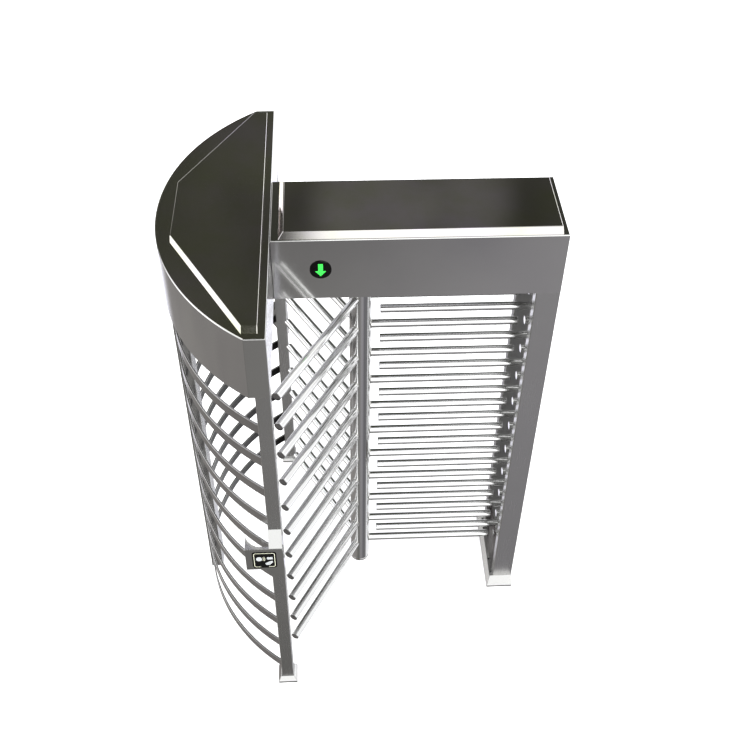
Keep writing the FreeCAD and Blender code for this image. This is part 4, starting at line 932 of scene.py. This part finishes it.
def roof_wedge(x_low, x_high, near, far, foot, rise):
    """The sloped cover over the post: a triangle in y and z carried along x."""
    corners, edge = [(near + 1, foot), (far, foot), (far, foot + rise)], 0.8
    flat = outline(corners, 1.2, 0.0, 3)
    soft = outline(corners, 1.2, edge, 3)
    stack = ((soft, x_low), (flat, x_low + edge), (flat, x_high - edge), (soft, x_high))
    return skin([np.column_stack([np.full(len(shape), x), shape]) for shape, x in stack])


def scooped_lobe(left, near, wide, deep, low_z, high_z):
    """Behind the tongue's end: a side wall, and a hollow curve from its back edge to the tongue."""
    t = np.linspace(0, 1, 12)
    curve = np.column_stack([left + wide * t ** 1.5, near + deep * (1 - t) ** 1.5])
    flat = np.vstack([[(left, near)], curve[::-1]])
    return skin([at_level(flat, low_z), at_level(flat, high_z)])


inside_front, inside_back = reader_front + 2, post_low[1]
body_block = rectangle((post_low[0], face_low + 0.4), (high[0] - 0.2, shoulder))
top_block = rectangle((post_low[0], shoulder - 4), (post_high[0], FACE_HIGH - 0.2))
housing = [
    upright_slab(face_corners, 2.5, reader_front, reader_front + TONGUE, 1.2),
    upright_slab(body_block, 2.0, inside_front, inside_back, 0.8),
    upright_slab(top_block, 1.0, inside_front, inside_back, 0.4),
    roof_wedge(post_low[0], post_high[0], reader_front, inside_back, FACE_HIGH - 1, high[2] - FACE_HIGH + 1),
    scooped_lobe(low[0] + 0.3, reader_front + TONGUE - 1, LOBE_WIDE, LOBE_DEEP,
                 SHELF + 0.5, FACE_HIGH - 0.5),
]
piece("front_reader_case", housing, steel_across, "frame", "brushed_stainless", "front_reader_housing")
piece("rear_reader_case", [mirrored(s) for s in housing], steel_across,
      "frame", "brushed_stainless", "rear_reader_housing")

# %% [markdown]
# ## Reader window
# A black acrylic plate carries a printed border, open at its foot, a plain tag symbol with
# two waves, and a hand that holds out a card. The print is 0.3 mm of raised ink, so it is
# real geometry and not a picture.


# %% Window and printed symbols
def ribbon(path, width, front, deep):
    """A flat line of ink along an open path in x and z: path +/- normal * width / 2."""
    path = np.asarray(path, float)
    run = np.gradient(path, axis=0)
    run /= np.linalg.norm(run, axis=1)[:, None]
    side = np.stack([-run[:, 1], run[:, 0]], 1) * width / 2
    corners = ((1, front), (1, front + deep), (-1, front + deep), (-1, front))
    edges = [at_depth(path + sign * side, y) for sign, y in corners]
    return skin(list(np.stack(edges, 1)))


low, high = box_mm("reader_windows")
INK, LAP, PLATE, PLATE_CORNER, PLATE_EDGE = 0.3, 0.1, 2.7, 12.0, 0.6
window_front = low[1]
window_middle = ((low[0] + high[0]) / 2, 0, (low[2] + high[2]) / 2)
half_wide, half_high = (high[0] - low[0]) / 2, (high[2] - low[2]) / 2
window_corners = rectangle((-half_wide, -half_high), (half_wide, half_high))
window_plate = plate_facing_front(window_corners, PLATE_CORNER, window_middle,
                                  window_front + INK, PLATE, PLATE_EDGE)
MARGIN, LINE, WAVE_LINE, BREAK_HALF, BORDER_CORNER = 8.0, 2.4, 2.0, 17.0, 9
w, h = half_wide - MARGIN, half_high - MARGIN
border_corners = [(-BREAK_HALF, -h), (BREAK_HALF, -h), (w, -h), (w, h), (-w, h), (-w, -h)]
loop = outline(border_corners, [0, 0] + [BORDER_CORNER] * 4, 0.0, 6)
border = np.roll(loop, -1, 0) + (window_middle[0], window_middle[2])
ink = [ribbon(border, LINE, window_front, INK + LAP)]


def wave(centre, radius, first, last):
    """An arc of ink about a centre, between two angles in degrees."""
    t = np.radians(np.linspace(first, last, 14))
    return np.column_stack([centre[0] + radius * np.cos(t), centre[1] + radius * np.sin(t)])


tag_at = (window_middle[0] - 21.0, window_middle[2] + 8.0)
card_at = (window_middle[0] + 24.0, window_middle[2] + 12.0)
for radius in (17.0, 23.0):
    ink.append(ribbon(wave(tag_at, radius, -38, 38), WAVE_LINE, window_front, INK + LAP))
palm = [(4, -34), (20, -36), (34, -18), (34, -6), (24, -8), (12, -16), (2, -22)]
tag = [(-13, -9), (-5, -15), (8, -12), (12, 0), (6, 12), (-6, 14), (-14, 6)]
card = rectangle((-13, -8), (11, 8))
symbols = [plate_facing_front(shape, rounding, centre, window_front, INK + LAP, 0.1)
           for shape, rounding, centre in ((tag, 4.0, (tag_at[0], 0, tag_at[1])),
                                           (card, 2.5, (card_at[0], 0, card_at[1])),
                                           (palm, 2.5, window_middle))]
piece("reader_window_plates", [window_plate, mirrored(window_plate)], acrylic,
      "frame", "black_acrylic", "reader_windows")
piece("reader_border_print", ink + [mirrored(s) for s in ink], print_ink, "frame", "black_acrylic")
piece("reader_symbol_print", symbols + [mirrored(s) for s in symbols], grey_ink, "frame", "black_acrylic")

# %% [markdown]
# ## Close the lesson
# The finished model's box is printed.

low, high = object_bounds()
print("visual box:", [round(x, 4) for x in low], [round(x, 4) for x in high])
